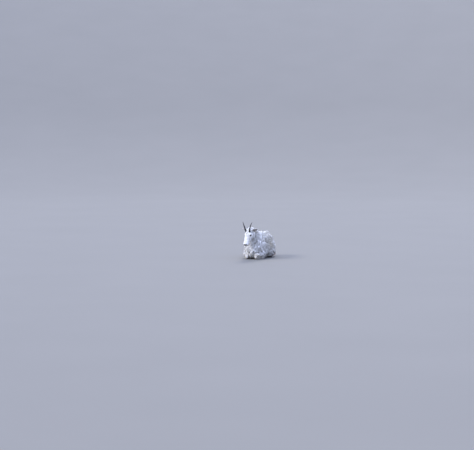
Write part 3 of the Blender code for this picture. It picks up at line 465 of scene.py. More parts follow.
def trunk():
    """The trunk, sharper along the ridge of the back than round the belly."""
    angles = np.linspace(0, 2 * math.pi, TRUNK_SIDES, endpoint=False)
    upper = np.sin(angles) > 0
    power = np.where(upper, RIDGE_POWER, BELLY_POWER)
    rings = []
    for x in np.linspace(TRUNK_X[0], TRUNK_X[-1], TRUNK_RINGS):
        mid = along(TRUNK_X, TRUNK_MID, x)
        high = along(TRUNK_X, TRUNK_TOP, x) - mid
        low = mid - along(TRUNK_X, TRUNK_LOW, x)
        y = along(TRUNK_X, TRUNK_HALF, x) * power_wave(np.cos(angles), power) + sway(x)
        z = mid + np.where(upper, high, low) * power_wave(np.sin(angles), power)
        rings.append(np.stack([np.full(TRUNK_SIDES, x), y, np.maximum(z, 0.002)], axis=1))
    return loft(rings)


def leg_forms(side):
    """Shoulder, folded foreleg, haunch and folded hind leg of one side: -1 is the animal's left."""

    def at(place):
        x, y, z = place
        return (x, side * y + sway(x), z)

    made = [blob(at(place), radii, lean) for _, place, radii, lean in LEG_MASSES]
    return made + [limb([at(place) for place in places], radii) for _, places, radii in LEG_LIMBS]


def head_rings(rings, sides):
    """Rings of the head's skin in its own directions, closer together at the muzzle."""
    angles = np.linspace(0, 2 * math.pi, sides, endpoint=False)
    wave_y = np.sign(np.cos(angles)) * np.abs(np.cos(angles)) ** 0.90
    wave_d = np.sign(np.sin(angles)) * np.abs(np.sin(angles)) ** 0.95
    narrow = 1 - 0.30 * np.maximum(0, np.sin(angles)) ** 1.6
    narrow -= 0.34 * np.maximum(0, -np.sin(angles)) ** 1.5
    made = []
    for share in np.linspace(0, 1, rings):
        s = HEAD_S[-1] * (0.55 * share**2 + 0.45 * share)
        top = along(HEAD_S, HEAD_TOP, s)
        low = along(HEAD_S, HEAD_LOW, s)
        y = along(HEAD_S, HEAD_HALF, s) * wave_y * narrow
        d = 0.5 * (top + low) + 0.5 * (top - low) * wave_d
        ring = np.stack([np.full(sides, s), y, d], axis=1)
        out = np.stack([np.zeros(sides), np.cos(angles), np.sin(angles)], axis=1)
        out[:, 0] = -max(0.0, 1 - s / 0.02)
        push = np.zeros(sides)
        for place, reach, height in HEAD_FORMS:
            for mirror in (-1, 1):
                away = ring - np.array([place[0], mirror * place[1], place[2]])
                push += height * np.exp(-(away**2).sum(1) / (2 * reach**2)) / (2 if place[1] == 0 else 1)
        made.append(ring + unit(out) * push[:, None])
    return made


def mesh_object(name, points, faces):
    """A mesh object from arrays of points and triangles."""
    mesh = bpy.data.meshes.new(name)
    mesh.vertices.add(len(points))
    mesh.vertices.foreach_set("co", np.asarray(points, np.float32).ravel())
    mesh.loops.add(3 * len(faces))
    mesh.loops.foreach_set("vertex_index", np.asarray(faces, np.int32).ravel())
    mesh.polygons.add(len(faces))
    mesh.polygons.foreach_set("loop_start", np.arange(0, 3 * len(faces), 3, dtype=np.int32))
    mesh.update(calc_edges=True)
    mesh.shade_smooth()
    made = bpy.data.objects.new(name, mesh)
    bpy.context.scene.collection.objects.link(made)
    return made


def joined(name, parts):
    """One object from several closed meshes, overlapping as they are."""
    starts = np.cumsum([0] + [len(points) for points, _ in parts])
    points = np.concatenate([points for points, _ in parts])
    faces = np.concatenate([faces + start for (_, faces), start in zip(parts, starts)])
    return mesh_object(name, points, faces)


def bake(thing):
    """Applies the modifiers of an object."""
    graph = bpy.context.evaluated_depsgraph_get()
    made = bpy.data.meshes.new_from_object(thing.evaluated_get(graph))
    thing.modifiers.clear()
    thing.data = made
    return thing


def remeshed(thing, voxel, factor, rounds):
    """One even, closed skin over an object's overlapping forms."""
    remesh = thing.modifiers.new("Remesh", "REMESH")
    remesh.mode = "VOXEL"
    remesh.voxel_size = voxel
    remesh.use_smooth_shade = True
    blend = thing.modifiers.new("Smooth", "SMOOTH")
    blend.factor = factor
    blend.iterations = rounds
    return bake(thing)


def combine(thing, others, operation):
    """One Boolean with several closed meshes, which it then removes."""
    group = bpy.data.collections.new("pieces")
    bpy.context.scene.collection.children.link(group)
    for other in others:
        bpy.context.scene.collection.objects.unlink(other)
        group.objects.link(other)
    mix = thing.modifiers.new("Combine", "BOOLEAN")
    mix.operation = operation
    mix.operand_type = "COLLECTION"
    mix.collection = group
    mix.solver = "MANIFOLD"
    bpy.context.view_layer.update()
    bake(thing)
    for other in others:
        bpy.data.objects.remove(other)
    bpy.data.collections.remove(group)
    return thing


def triangles_of(thing):
    """Points and triangles of an object's mesh."""
    mesh = thing.data
    points = np.zeros(len(mesh.vertices) * 3, np.float32)
    mesh.vertices.foreach_get("co", points)
    mesh.calc_loop_triangles()
    faces = np.zeros(len(mesh.loop_triangles) * 3, np.int32)
    mesh.loop_triangles.foreach_get("vertices", faces)
    return points.reshape(-1, 3).astype(float), faces.reshape(-1, 3)


def surface_of(thing):
    """A tree that finds places on an object's surface."""
    points, faces = triangles_of(thing)
    return BVHTree.FromPolygons(points.tolist(), faces.tolist())


def eye_axes(side):
    """The way an eye faces, and the ways along and across its opening."""
    facing = head_way(EYE_FACING[0], -side * EYE_FACING[1], EYE_FACING[2])
    length_way = head_way(*EYE_LENGTH_WAY)
    length_way = unit(length_way - facing * (length_way @ facing))
    return facing, length_way, np.cross(facing, length_way)


def almond(side, size, segments):
    """The outline of an eye's opening, flat before the eye, with the way that it faces."""
    facing, length_way, height_way = eye_axes(side)
    turns = np.linspace(0, 2 * math.pi, segments, endpoint=False)
    long = np.cos(turns) * (LID_HALF_LENGTH + size)
    high = np.sin(turns) * np.abs(np.sin(turns)) ** 0.25 * (LID_HALF_HEIGHT + size)
    return np.outer(long, length_way) + np.outer(high, height_way), facing


def lid_line(side):
    """The middle line of both lids, round the opening of the eye."""
    outline, facing = almond(side, LID_THICK * 0.6, 48)
    bulge = np.sqrt(LID_REACH**2 - dot(outline, outline))
    return eye_point(side) + outline + facing * bulge[:, None], outline, facing


def eyelids(side, sides=10):
    """The thickened rims of both lids as one ring."""
    line, outline, facing = lid_line(side)
    out = unit(outline)
    spins = np.linspace(0, 2 * math.pi, sides, endpoint=False)
    tube = np.cos(spins)[:, None] * out[:, None] + np.sin(spins)[:, None] * facing
    points = (line[:, None] + LID_THICK * tube).reshape(-1, 3)
    count = len(line)
    k = np.repeat(np.arange(count), sides)
    j = np.tile(np.arange(sides), count)
    a = k * sides + j
    b = k * sides + (j + 1) % sides
    c = (k + 1) % count * sides + (j + 1) % sides
    d = (k + 1) % count * sides + j
    return outward(points, np.concatenate([np.stack([a, b, c], axis=1), np.stack([a, c, d], axis=1)]))


def eye_opening(side):
    """What is cut out between the lids."""
    outline, facing = almond(side, 0.0, 48)
    centre = eye_point(side)
    return loft([centre + outline * 0.9 + facing * 0.004, centre + outline * 1.12 + facing * 0.034])


def ball(centre, radius):
    """A ball, for the eye's socket."""
    return blob(centre, (radius, radius, radius), 0.0, 36, 24)


def tube(path, sizes, sides=12):
    """A round tube along a path, as thick as the sizes say."""
    path = np.asarray(path, float)
    _, across, over = frames_along(path)
    turns = np.linspace(0, 2 * math.pi, sides, endpoint=False)
    rings = []
    for k, size in enumerate(sizes):
        circle = np.outer(np.cos(turns), across[k]) + np.outer(np.sin(turns), over[k])
        rings.append(path[k] + size * circle)
    return loft(rings)


def mouth_line(surface, count=60):
    """The line between the lips, round the muzzle from one corner of the mouth to the other."""
    path = []
    for share in np.linspace(-1, 1, count):
        angle = math.radians(MOUTH_HALF_TURN * share)
        start = in_head((MOUTH_AT[0], 0.0, MOUTH_AT[2] - MOUTH_DROP * share**2))
        way = head_way(-math.cos(angle), math.sin(angle), 0.0)
        path.append(surface.ray_cast(Vector(start), Vector(way))[0])
    return np.array(path)


def nostril_line(surface, side, count=14):
    """The slit of a nostril, on the surface of the muzzle."""
    path = []
    for share in np.linspace(0, 1, count):
        turn = math.radians(NOSTRIL_TURNS[0] + (NOSTRIL_TURNS[1] - NOSTRIL_TURNS[0]) * share)
        way = head_way(-math.cos(turn), -side * math.sin(turn), 0.02 + 0.42 * share)
        path.append(surface.ray_cast(Vector(in_head(NOSTRIL_FROM)), Vector(way))[0])
    return np.array(path)


def ear_axes(side):
    """Root of an ear, its way and the way its hollow opens, in the head's directions."""
    way = unit((EAR_WAY[0], -side * EAR_WAY[1], EAR_WAY[2]))
    opens = np.array((EAR_OPENS[0], -side * EAR_OPENS[1], EAR_OPENS[2]))
    opens = unit(opens - way * (opens @ way))
    return np.array([EAR_AT[0], -side * EAR_AT[1], EAR_AT[2]]), way, opens


def ear(side):
    """A narrow, pointed ear: a cupped leaf whose hollow faces forwards and out."""
    root, way, opens = ear_axes(side)
    across = np.cross(way, opens)
    rings = []
    for share in np.linspace(0.0, 0.97, 34):
        half = along(*EAR_OUTLINE, share) * EAR_HALF
        cup = half * along((0, 0.3, 1.0), (1.0, 0.75, 0.35), share)
        wall = EAR_WALL * along((0, 0.5, 1.0), (1.3, 1.0, 0.6), share)
        full = smooth(0.16, 0.06, share)
        centre = root + way * (EAR_LENGTH * share) - opens * 0.010 * math.sin(math.pi * share)
        turns = np.linspace(-1, 1, 19) * math.pi / 2
        outer = centre + np.outer(np.sin(turns) * half, across) - np.outer(np.cos(turns) * cup, opens)
        turns = np.linspace(0.85, -0.85, 15) * math.pi / 2
        depth = np.cos(turns) * (max(cup - wall, 0.0) * (1 - full) - 0.4 * cup * full)
        inner = centre + np.outer(np.sin(turns) * (half - wall / 2), across) - np.outer(depth, opens)
        rings.append(in_head(np.concatenate([outer, inner])))
    return loft(rings)


def head_skin():
    """The head with its mouth, nostrils, lids and ears, and the lines that its dark edges follow."""
    rings = [in_head(ring) for ring in head_rings(HEAD_RINGS, HEAD_SIDES)]
    head = mesh_object("head_skin", *loft(rings))
    surface = surface_of(head)
    mouth = mouth_line(surface)
    nostrils = [nostril_line(surface, side) for side in (-1, 1)]
    sizes = MOUTH_GROOVE * (0.35 + 0.65 * np.sin(np.linspace(0, math.pi, len(mouth))))
    cutters = [mesh_object("groove", *tube(mouth, sizes))]
    shares = np.linspace(0, 1, len(nostrils[0]))
    swell = np.sin(math.pi * np.minimum(1.0, 1.25 * shares + 0.12))
    widths = NOSTRIL_WIDTHS[0] + (NOSTRIL_WIDTHS[1] - NOSTRIL_WIDTHS[0]) * swell
    for line in nostrils:
        cutters.append(mesh_object("nostril", *tube(line, widths)))
    adds = []
    for side in (-1, 1):
        adds.append(mesh_object("lids", *eyelids(side)))
        adds.append(mesh_object("ear", *ear(side)))
        cutters.append(mesh_object("socket", *ball(eye_point(side), EYE_RADIUS)))
        cutters.append(mesh_object("opening", *eye_opening(side)))
    combine(head, adds, "UNION")
    combine(head, cutters, "DIFFERENCE")
    return remeshed(head, HEAD_VOXEL, 0.5, 3), mouth, nostrils


def body_skin():
    """Trunk, neck, tail and folded legs as one closed skin."""
    forms = [trunk(), limb(NECK_KNOTS, NECK_RADII, NECK_FLAT), limb(TAIL_KNOTS, TAIL_RADII, TAIL_FLAT)]
    for side in (-1, 1):
        forms += leg_forms(side)
    return remeshed(joined("body_skin", forms), BODY_VOXEL, 0.6, 10)


def dark_edges(points, mouth, nostrils):
    """How dark the bare skin is: 1 on the nose pad, the lips and the rims of the lids."""
    s, y, d = head_coordinates(points).T
    mask = np.zeros(len(points))
    near = np.flatnonzero((s < 0.30) & (np.abs(y) < 0.08) & (np.abs(d) < 0.10))
    pad = smooth(0.020, 0.008, s[near]) * smooth(-0.026, -0.016, d[near])
    pad = pad * smooth(0.026, 0.016, np.abs(y[near]))
    mask[near] = pad * smooth(0.030, 0.020, d[near])
    lines = [(mouth, 0.0046, 0.0014)] + [(line, 0.0072, 0.0040) for line in nostrils]
    lines += [(lid_line(side)[0], 0.0046, 0.0026) for side in (-1, 1)]
    for line, outer, inner in lines:
        away = np.linalg.norm(points[near][:, None] - line[None], axis=2).min(axis=1)
        mask[near] = np.maximum(mask[near], smooth(outer, inner, away))
    return mask


def ear_places(points):
    """Place along an ear as a share of its length, or -1 off the ears, with its way and how it opens."""
    inside = head_coordinates(points)
    share = np.full(len(points), -1.0)
    ways = np.zeros((len(points), 3))
    opens = np.zeros((len(points), 3))
    for side in (-1, 1):
        root, way, open_way = ear_axes(side)
        reach = (inside - root) @ way
        off = np.linalg.norm(inside - root - np.outer(reach, way), axis=1)
        here = (reach > 0.020) & (reach < EAR_LENGTH * 1.05) & (off < 0.036)
        share[here] = reach[here] / EAR_LENGTH
        ways[here] = way @ HEAD_FRAME
        opens[here] = open_way @ HEAD_FRAME
    return share, ways, opens


def off_ears(points):
    """Distance of places from the middle line of the nearer ear."""
    inside = head_coordinates(points)
    away = np.full(len(points), 9.0)
    for side in (-1, 1):
        root, way, _ = ear_axes(side)
        reach = np.clip((inside - root) @ way, 0.012, EAR_LENGTH)
        away = np.minimum(away, np.linalg.norm(inside - root - np.outer(reach, way), axis=1))
    return away


def drift(points, wave, seed):
    """A smooth random field between about -1 and 1, with a given wavelength."""
    rng = np.random.default_rng(seed)
    total = np.zeros(len(points))
    for _ in range(5):
        way = unit(rng.normal(size=3)) * 2 * math.pi / (wave * rng.uniform(0.7, 1.5))
        total += np.sin(points @ way + rng.uniform(0, 2 * math.pi))
    return total / 2.6


def coat_tint(points):
    """Colour of the coat: cream white, faintly warm on the flank, stained at the hocks, dusty hems."""
    x, y, z = points.T
    tint = np.tile(np.array(CREAM), (len(points), 1))

    def mix(colour, amount):
        """Lays a colour over the tint, by an amount from 0 to 1."""
        tint[:] = tint + (np.array(colour) - tint) * np.clip(amount, 0, 1)[:, None]

    broad = 0.5 + 0.5 * drift(points, 0.16, 21)
    fine = 0.5 + 0.5 * drift(points, 0.035, 22)
    patch = np.exp(-(((x - 0.03) / 0.12) ** 2) - ((z - 0.28) / 0.085) ** 2)
    mix(FLANK_TINT, 0.85 * patch * (0.5 + 0.5 * broad))
    mix(FLANK_TINT, 0.12 * broad * fine)
    mix(DUST, 0.55 * smooth(0.085, 0.012, z) * (0.5 + 0.5 * fine))
    hock = np.exp(-(((x - 0.225) / 0.085) ** 2) - ((z - 0.066) / 0.052) ** 2)
    hock = hock * smooth(0.05, 0.10, np.abs(y - sway(x)))
    mix(STAIN, 0.85 * hock * (0.6 + 0.4 * fine))
    knee = np.exp(-(((x + 0.36) / 0.045) ** 2) - ((z - 0.035) / 0.030) ** 2)
    mix(DUST, 0.6 * knee)
    return tint


HEAD_SKIN, MOUTH, NOSTRILS = head_skin()
skin = combine(body_skin(), [HEAD_SKIN], "UNION")
skin.name = "skin"
SKIN_POINTS, SKIN_FACES = triangles_of(skin)
SKIN = surface_of(skin)


def nearest(points):
    """The nearest places on the skin, with its normals there."""
    found = [SKIN.find_nearest(point) for point in points.tolist()]
    return np.array([hit[0] for hit in found]), np.array([hit[1] for hit in found])


def on_head(points):
    """Which places are on the head."""
    s, y, d = head_coordinates(points).T
    half = along(HEAD_S, HEAD_HALF, s) + 0.016
    low = along(HEAD_S, HEAD_LOW, s) - 0.014
    top = along(HEAD_S, HEAD_TOP, s) + 0.016
    return (s > -0.02) & (s < 0.29) & (np.abs(y) < half) & (d > low) & (d < top)


def head_zones(points):
    """Weights of the beard, the crown tuft and the cheek ruff at places on the head."""
    s, y, d = head_coordinates(points).T
    under = smooth(-0.020, -0.032, d) * smooth(0.036, 0.022, np.abs(y))
    beard = smooth(0.034, 0.048, s) * smooth(0.122, 0.104, s) * under
    crown = smooth(0.200, 0.232, s) * smooth(0.030, 0.052, d)
    ruff = smooth(0.160, 0.215, s) * smooth(0.040, 0.000, d)
    head = on_head(points)
    return beard * head, crown * head, ruff * head


def hair_length(points):
    """Length of the coat at places on the skin."""
    x, y, z = points.T
    crest = smooth(0.34, 0.42, z)
    front = smooth(-0.20, -0.32, x)
    low = smooth(0.17, 0.08, z)
    length = (BODY_HAIR + CREST_MORE * crest + BREAST_MORE * front) * (1 - 0.32 * low)
    leg = smooth(0.074, 0.054, z) * smooth(0.080, 0.104, np.abs(y - sway(x)))
    length = length + (LEG_HAIR - length) * leg
    s, y, d = head_coordinates(points).T
    face = np.interp(s, *FACE_HAIR)
    face = face + JAW_MORE * smooth(-0.005, -0.050, d) * smooth(0.10, 0.17, s)
    face = face + CHEEK_MORE * smooth(0.085, 0.150, s) * smooth(0.026, 0.046, np.abs(y))
    beard, crown, ruff = head_zones(points)
    face = np.maximum(face, RUFF_HAIR * ruff)
    face = np.maximum(face, CROWN_HAIR * crown)
    face = np.maximum(face, np.interp(s, *BEARD_HAIR) * beard)
    length = np.where(on_head(points), face, length)
    length = np.minimum(length, 0.016 + 1.3 * np.maximum(0, off_ears(points) - 0.030))
    for side in (-1, 1):
        away = np.linalg.norm(points - eye_point(side), axis=1)
        length = np.minimum(length, 0.0022 + 0.30 * np.maximum(0, away - 0.019))
    knee = smooth(-0.295, -0.335, x) * smooth(0.085, 0.060, z)
    length = length + (KNEE_HAIR - length) * knee
    share, _, _ = ear_places(points)
    return np.where(share > 0, 0.008 + 0.006 * smooth(0.9, 0.3, share), length)


def hair_rise(points, lengths):
    """How far the tips of the coat stand off the skin."""
    x, y, z = points.T
    lift = 1 + 0.3 * smooth(0.34, 0.42, z) - 0.3 * smooth(0.17, 0.08, z)
    long = (COAT_CORE + LOCK_LIFT * lift) * 0.95
    ridge = smooth(0.10, 0.03, np.abs(y - sway(x))) * smooth(0.27, 0.34, z)
    long = long + RIDGE_RISE * ridge * (0.45 + 0.55 * smooth(0.10, -0.15, x))
    lengths = lengths + 1.5 * RIDGE_RISE * ridge
    return np.minimum(long, 0.005 + 0.32 * lengths) * smooth(0.0, 0.03, lengths) + 0.06 * lengths


def surface_flow(points, normals):
    """The way the coat lies: back along the ridge, then down, and hanging where the skin turns under."""
    x, y, z = points.T
    side = np.clip(4 * normals[:, 1], -1, 1)
    flat = np.maximum(0, normals[:, 2])
    flow = np.stack([0.42 + 0.45 * flat, side * 0.40 * flat, -np.ones(len(points))], axis=1)
    flow[:, 0] *= smooth(-0.45, -0.15, normals[:, 0])
    flow[:, 1] += side * 0.6 * smooth(0.11, 0.07, z)
    leg = smooth(0.060, 0.045, z) * smooth(0.085, 0.105, np.abs(y - sway(x)))
    along_leg = np.where(x < -0.1, 1.0, -1.0)
    flow += leg[:, None] * np.stack([1.6 * along_leg, 0 * x, 0 * x], axis=1)
    head = on_head(points)[:, None]
    s, _, d = head_coordinates(points).T
    fall = 0.10 + 0.45 * smooth(0.02, -0.04, d) + 0.25 * smooth(0.12, 0.22, s) * smooth(0.05, 0.0, d)
    face = HEAD_BACK - HEAD_CROWN * fall[:, None]
    flow = np.where(head, face, flow)
    share, ways, _ = ear_places(points)
    flow = np.where(share[:, None] > 0, ways, flow)
    projected = unit(flow - normals * dot(flow, normals)[:, None])
    hang = smooth(-0.05, -0.35, normals[:, 2]) * (1 - head[:, 0])
    return unit(projected * (1 - hang[:, None]) + np.array([0.0, 0.0, -1.0]) * hang[:, None])


def turned(flow, normals, angles):
    """The flow turned about the normals."""
    return flow * np.cos(angles)[:, None] + np.cross(normals, flow) * np.sin(angles)[:, None]


def grow(roots, normals, lengths, rises, turns, steps):
    """Middle lines of hairs that follow the lie of the coat and rise off the skin towards their tips."""
    beard, crown, ruff = head_zones(roots)
    _, y, _ = head_coordinates(roots).T
    count = len(roots)
    free_way = np.tile(np.array([0.12, 0.0, -1.0]), (count, 1)) * beard[:, None]
    back = np.stack([np.ones(count), 6 * y, np.full(count, 0.35)], axis=1) @ HEAD_FRAME
    free_way += back * crown[:, None]
    cheek = np.stack([np.full(count, 0.65), np.sign(y) * 0.35, np.full(count, -0.55)], axis=1)
    free_way += cheek @ HEAD_FRAME * (ruff * 0.6)[:, None]
    free = np.clip(beard + crown + 0.6 * ruff, 0, 1)
    here = roots.copy()
    out = normals
    line = [roots - normals * ROOT_SINK]
    ups = [normals]
    for k in range(1, steps + 1):
        share = k / steps
        flow = turned(surface_flow(here, out), out, turns + 0.22 * drift(here, 0.11, 31))
        droop = np.array([0.0, 0.0, -0.25 * share])
        run = unit(flow * (1 - free)[:, None] + (free_way + droop * free[:, None]) * free[:, None])
        here = here + run * (lengths / steps)[:, None]
        skin_place, out = nearest(here)
        height = dot(here - skin_place, out)
        want = rises * (1 - (1 - share) ** 1.9)
        settled = np.where((out[:, 2] > -0.15) & (free < 0.3), want, np.maximum(want * 0.4, height))
        here = here + out * (settled - height)[:, None]
        sunk = np.maximum(0, FLOOR_CLEAR * (1 + share) - here[:, 2])
        here[:, 2] += sunk
        here[:, :2] += unit(out[:, :2]) * (sunk * 0.5)[:, None]
        line.append(here.copy())
        ups.append(out)
    return np.stack(line, axis=1), np.stack(ups, axis=1)


def sample(count, weight, rng):
    """Random places on the skin with their normals, as dense as the weight of a place says."""
    corners = SKIN_POINTS[SKIN_FACES]
    cross = np.cross(corners[:, 1] - corners[:, 0], corners[:, 2] - corners[:, 0])
    areas = np.linalg.norm(cross, axis=1) / 2
    chance = areas * weight(corners.mean(axis=1), unit(cross))
    picks = rng.choice(len(areas), count, p=chance / chance.sum())
    shares = rng.dirichlet((1, 1, 1), count)
    return (corners[picks] * shares[:, :, None]).sum(axis=1), unit(cross[picks])


def scattered(points, spacing):
    """Indices of points that keep the spacing from each other, taken in order."""
    cells = {}
    kept = []
    keys = np.floor(points / spacing).astype(int)
    for k, (point, key) in enumerate(zip(points, keys)):
        clear = True
        for dx in (-1, 0, 1):
            for dy in (-1, 0, 1):
                for dz in (-1, 0, 1):
                    for other in cells.get((key[0] + dx, key[1] + dy, key[2] + dz), ()):
                        if clear and ((points[other] - point) ** 2).sum() < spacing**2:
                            clear = False
        if clear:
            cells.setdefault(tuple(key), []).append(k)
            kept.append(k)
    return np.array(kept)


def nearest_index(points, centres):
    """The nearest centre to each of the points."""
    tree = KDTree(len(centres))
    for k, centre in enumerate(centres):
        tree.insert(centre, k)
    tree.balance()
    return np.array([tree.find(point)[1] for point in points])


def shown(points, normals):
    """1 where hair grows: not under the animal, nor on the nose pad, lips and lids."""
    grows = (normals[:, 2] > -0.72) | (points[:, 2] > 0.10)
    bare = dark_edges(points, MOUTH, NOSTRILS) > 0.35
    sockets = np.zeros(len(points), bool)
    for side in (-1, 1):
        sockets |= np.linalg.norm(points - eye_point(side), axis=1) < EYE_RADIUS + 0.0016
    return (grows & (points[:, 2] > 0.006) & ~bare & ~sockets).astype(float)


def at_times(lines, times):
    """Lines of evenly spaced points, read at a time between 0 and 1 for each of them."""
    steps = lines.shape[1] - 1
    place = np.clip(times, 0, 1) * steps
    low = np.minimum(place.astype(int), steps - 1)
    rows = np.arange(len(lines))[:, None]
    part = (place - low)[..., None]
    return lines[rows, low] * (1 - part) + lines[rows, low + 1] * part


def gathered(lines, parents, owners, pull):
    """Lines drawn towards their parents' lines, more and more towards the tips."""
    steps = lines.shape[1] - 1
    share = np.linspace(0, 1, steps + 1)[None, :, None]
    return lines + (parents[owners] - lines) * pull[:, None, None] * share**1.3


def strand_mesh(lines, ups, widths, thickness, profile):
    """Three-sided tapered strands: points, triangles, and each point's place along and across its own."""
    count, stops = lines.shape[:2]
    tangents = unit(np.gradient(lines, axis=1))
    sides = unit(np.cross(tangents, ups))
    over = np.cross(sides, tangents)
    size = np.asarray(profile)[None, :-1, None] * widths[:, None, None]
    wide = sides[:, :-1] * size * 0.5
    deep = over[:, :-1] * size * thickness
    middle = lines[:, :-1]
    under = middle - deep * 0.4
    ring = np.stack([under + wide, middle + deep * 0.6, under - wide], axis=2)
    points = np.concatenate([ring.reshape(count, -1, 3), lines[:, -1:]], axis=1)
    tip = 3 * (stops - 1)
    last = tip - 3
    faces = [(0, 1, 2)]
    for low in range(0, last, 3):
        for k in range(3):
            after = (k + 1) % 3
            faces.append((low + k, low + 3 + after, low + after))
            faces.append((low + k, low + 3 + k, low + 3 + after))
    faces += [(last, tip, last + 1), (last + 1, tip, last + 2), (last + 2, tip, last)]
    _, faces = outward(points[0], np.array(faces))
    faces = faces[None] + (np.arange(count) * (tip + 1))[:, None, None]
    share = np.append(np.repeat(np.linspace(0, 1, stops)[:-1], 3), 1.0)
    across = np.append(np.tile([0.0, 0.5, 1.0], stops - 1), 0.5)
    return points, faces.reshape(-1, 3), share, across


def unwrap(points):
    """Each root's place on an unwrap of the skin: round and along the head, and so for the body."""
    s, y, d = head_coordinates(points).T
    head_u = 0.5 + np.arctan2(d, y) / (2 * math.pi)
    head_v = 0.03 + 0.24 * np.clip((s + 0.02) / 0.34, 0, 1)
    x, y, z = points.T
    body_u = 0.5 + np.arctan2(z - 0.15, y - sway(x)) / (2 * math.pi)
    body_v = 0.32 + 0.64 * np.clip((x + 0.42) / 0.86, 0, 1)
    head = on_head(points)
    u = 0.03 + 0.94 * np.where(head, head_u, body_u)
    return np.stack([u, np.where(head, head_v, body_v)], axis=1)


def set_uv(thing, name, places, faces):
    """A UV map of an object from one place for each point."""
    layer = thing.data.uv_layers.new(name=name)
    layer.data.foreach_set("uv", places[faces.ravel()].astype(np.float32).ravel())


def set_colour(thing, colours):
    """The colour of each point, which the materials read."""
    colours = np.concatenate([colours, np.ones((len(colours), 1))], axis=1)
    layer = thing.data.color_attributes.new("fur_colour", "FLOAT_COLOR", "POINT")
    layer.data.foreach_set("color", colours.astype(np.float32).ravel())


def coat_piece(name, lines, ups, widths, thickness, profile, tones, material):
    """One mesh of strands with their colours and the map that places each at its root on the skin."""
    points, faces, share, across = strand_mesh(lines, ups, widths, thickness, profile)
    roots = lines[:, 0]
    places = points + SHIFT
    low = np.array(CAD_BOX[0]) - BOX_ROOM
    high = np.array(CAD_BOX[1]) + BOX_ROOM
    low[2] = FLOOR_CLEAR / 3
    made = mesh_object(name, np.clip(places, low, high).reshape(-1, 3), faces)
    # Painted shade: each strand is darker at its root and evens out a little past halfway along.
    deep = PAINTED_ROOT_SHADE + 0.10 * smooth(0.0, 0.55, share)
    colours = coat_tint(roots)[:, None] * (tones[:, None] * deep[None])[..., None]
    set_colour(made, np.clip(colours, 0, 1).reshape(-1, 3))
    corner = np.stack([across - 0.5, share - 0.5], axis=1) * PATCH
    uv = (unwrap(roots)[:, None] + corner[None]).reshape(-1, 2)
    set_uv(made, "OFBake", uv, faces)
    made.data.materials.append(material)
    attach(made, "root")
    return made


def clear_of_ears(lines):
    """Which lines of the long coat keep off the ears, so that the ears stand free of it."""
    return (off_ears(lines.reshape(-1, 3)) > EAR_ROOM).reshape(lines.shape[:2]).all(axis=1)


def long_coat(material):
    """The long coat: locks gather clumps, and clumps gather strands, which wave on their way down."""
    rng = np.random.default_rng(SEED)

    def weight(points, normals):
        return shown(points, normals) * smooth(LONG_FROM * 0.8, LONG_FROM * 1.3, hair_length(points))

    roots, normals = sample(LONG_STRANDS, weight, rng)
    lock_at = scattered(roots, LOCK_SPACING)
    clump_at = scattered(roots, CLUMP_SPACING)
    guides = []
    for chosen, turn in ((lock_at, LOCK_TURN), (clump_at, CLUMP_TURN)):
        lengths = hair_length(roots[chosen]) * rng.uniform(0.90, 1.12, len(chosen))
        rises = hair_rise(roots[chosen], lengths) * rng.uniform(0.55, 1.05, len(chosen))
        turns = rng.normal(0, turn, len(chosen))
        guides.append(grow(roots[chosen], normals[chosen], lengths, rises, turns, GUIDE_STEPS))
    (locks, _), (clumps, clump_ups) = guides
    owners = nearest_index(roots[clump_at], roots[lock_at])
    clumps = gathered(clumps, locks, owners, rng.uniform(0.30, 0.60, len(clump_at)))
    owners = nearest_index(roots, roots[clump_at])
    count = len(roots)
    loose = rng.random(count) < LOOSE_SHARE
    pull = np.where(loose, rng.uniform(*LOOSE_PULL, count), rng.uniform(*HELD_PULL, count))
    reach = rng.uniform(0.72, 1.0, count) * np.where(loose, 0.92, 1.0)
    times = np.outer(reach, LONG_TIMES)
    guide = at_times(clumps[owners], times)
    ups = unit(at_times(clump_ups[owners], times))
    share = np.array(LONG_TIMES)[None, :, None]
    offset = (roots - clumps[owners, 0])[:, None] * (1 - pull[:, None, None] * share**0.9)
    lines = guide + offset
    sides = unit(np.cross(np.gradient(lines, axis=1), ups))
    lengths = np.linalg.norm(np.diff(lines, axis=1), axis=2).sum(axis=1)
    phase = rng.uniform(0, 2 * math.pi, len(clump_at))[owners] + rng.normal(0, 0.5, count)
    wave = np.sin(2 * math.pi * lengths[:, None] * np.array(LONG_TIMES) / WAVE_LENGTH + phase[:, None])
    lines += sides * (WAVE_HEIGHT * wave * np.array(LONG_TIMES))[..., None]
    scatter = rng.normal(0, 1, (count, 3)) * np.where(loose, LOOSE_SCATTER, HELD_SCATTER)[:, None]
    lines += scatter[:, None] * share**1.5
    lines[:, 0] = roots - normals * ROOT_SINK
    for k in range(1, len(LONG_TIMES)):
        place, out = nearest(lines[:, k])
        short = np.maximum(0, 0.004 + 0.004 * LONG_TIMES[k] - dot(lines[:, k] - place, out))
        lines[:, k] += out * short[:, None]
        lines[:, k, 2] = np.maximum(lines[:, k, 2], FLOOR_CLEAR)
    kept = clear_of_ears(lines)
    widths = rng.uniform(*LONG_WIDTHS, count) * np.where(loose, 0.6, 1.0)
    widths = widths * smooth(0.02, 0.09, lengths + 0.02)
    tones = rng.uniform(0.92, 1.06, len(clump_at))[owners] * rng.uniform(0.95, 1.05, count)
    head = on_head(roots)
    bands = np.digitize(roots[:, 0], BAND_ENDS)
    left = roots[:, 1] < sway(roots[:, 0])
    for side, mine in (("left", left), ("right", ~left)):
        for band, name in enumerate(BAND_NAMES):
            chosen = np.flatnonzero(kept & mine & (bands == band) & ~head)
            piece = (lines[chosen], ups[chosen], widths[chosen], 0.5, LONG_PROFILE, tones[chosen])
            coat_piece(f"long_coat_{name}_{side}", *piece, material)
    head &= kept
    piece = (lines[head], ups[head], widths[head] * 0.8, 0.5, LONG_PROFILE, tones[head])
    coat_piece("beard_and_ruff", *piece, material)


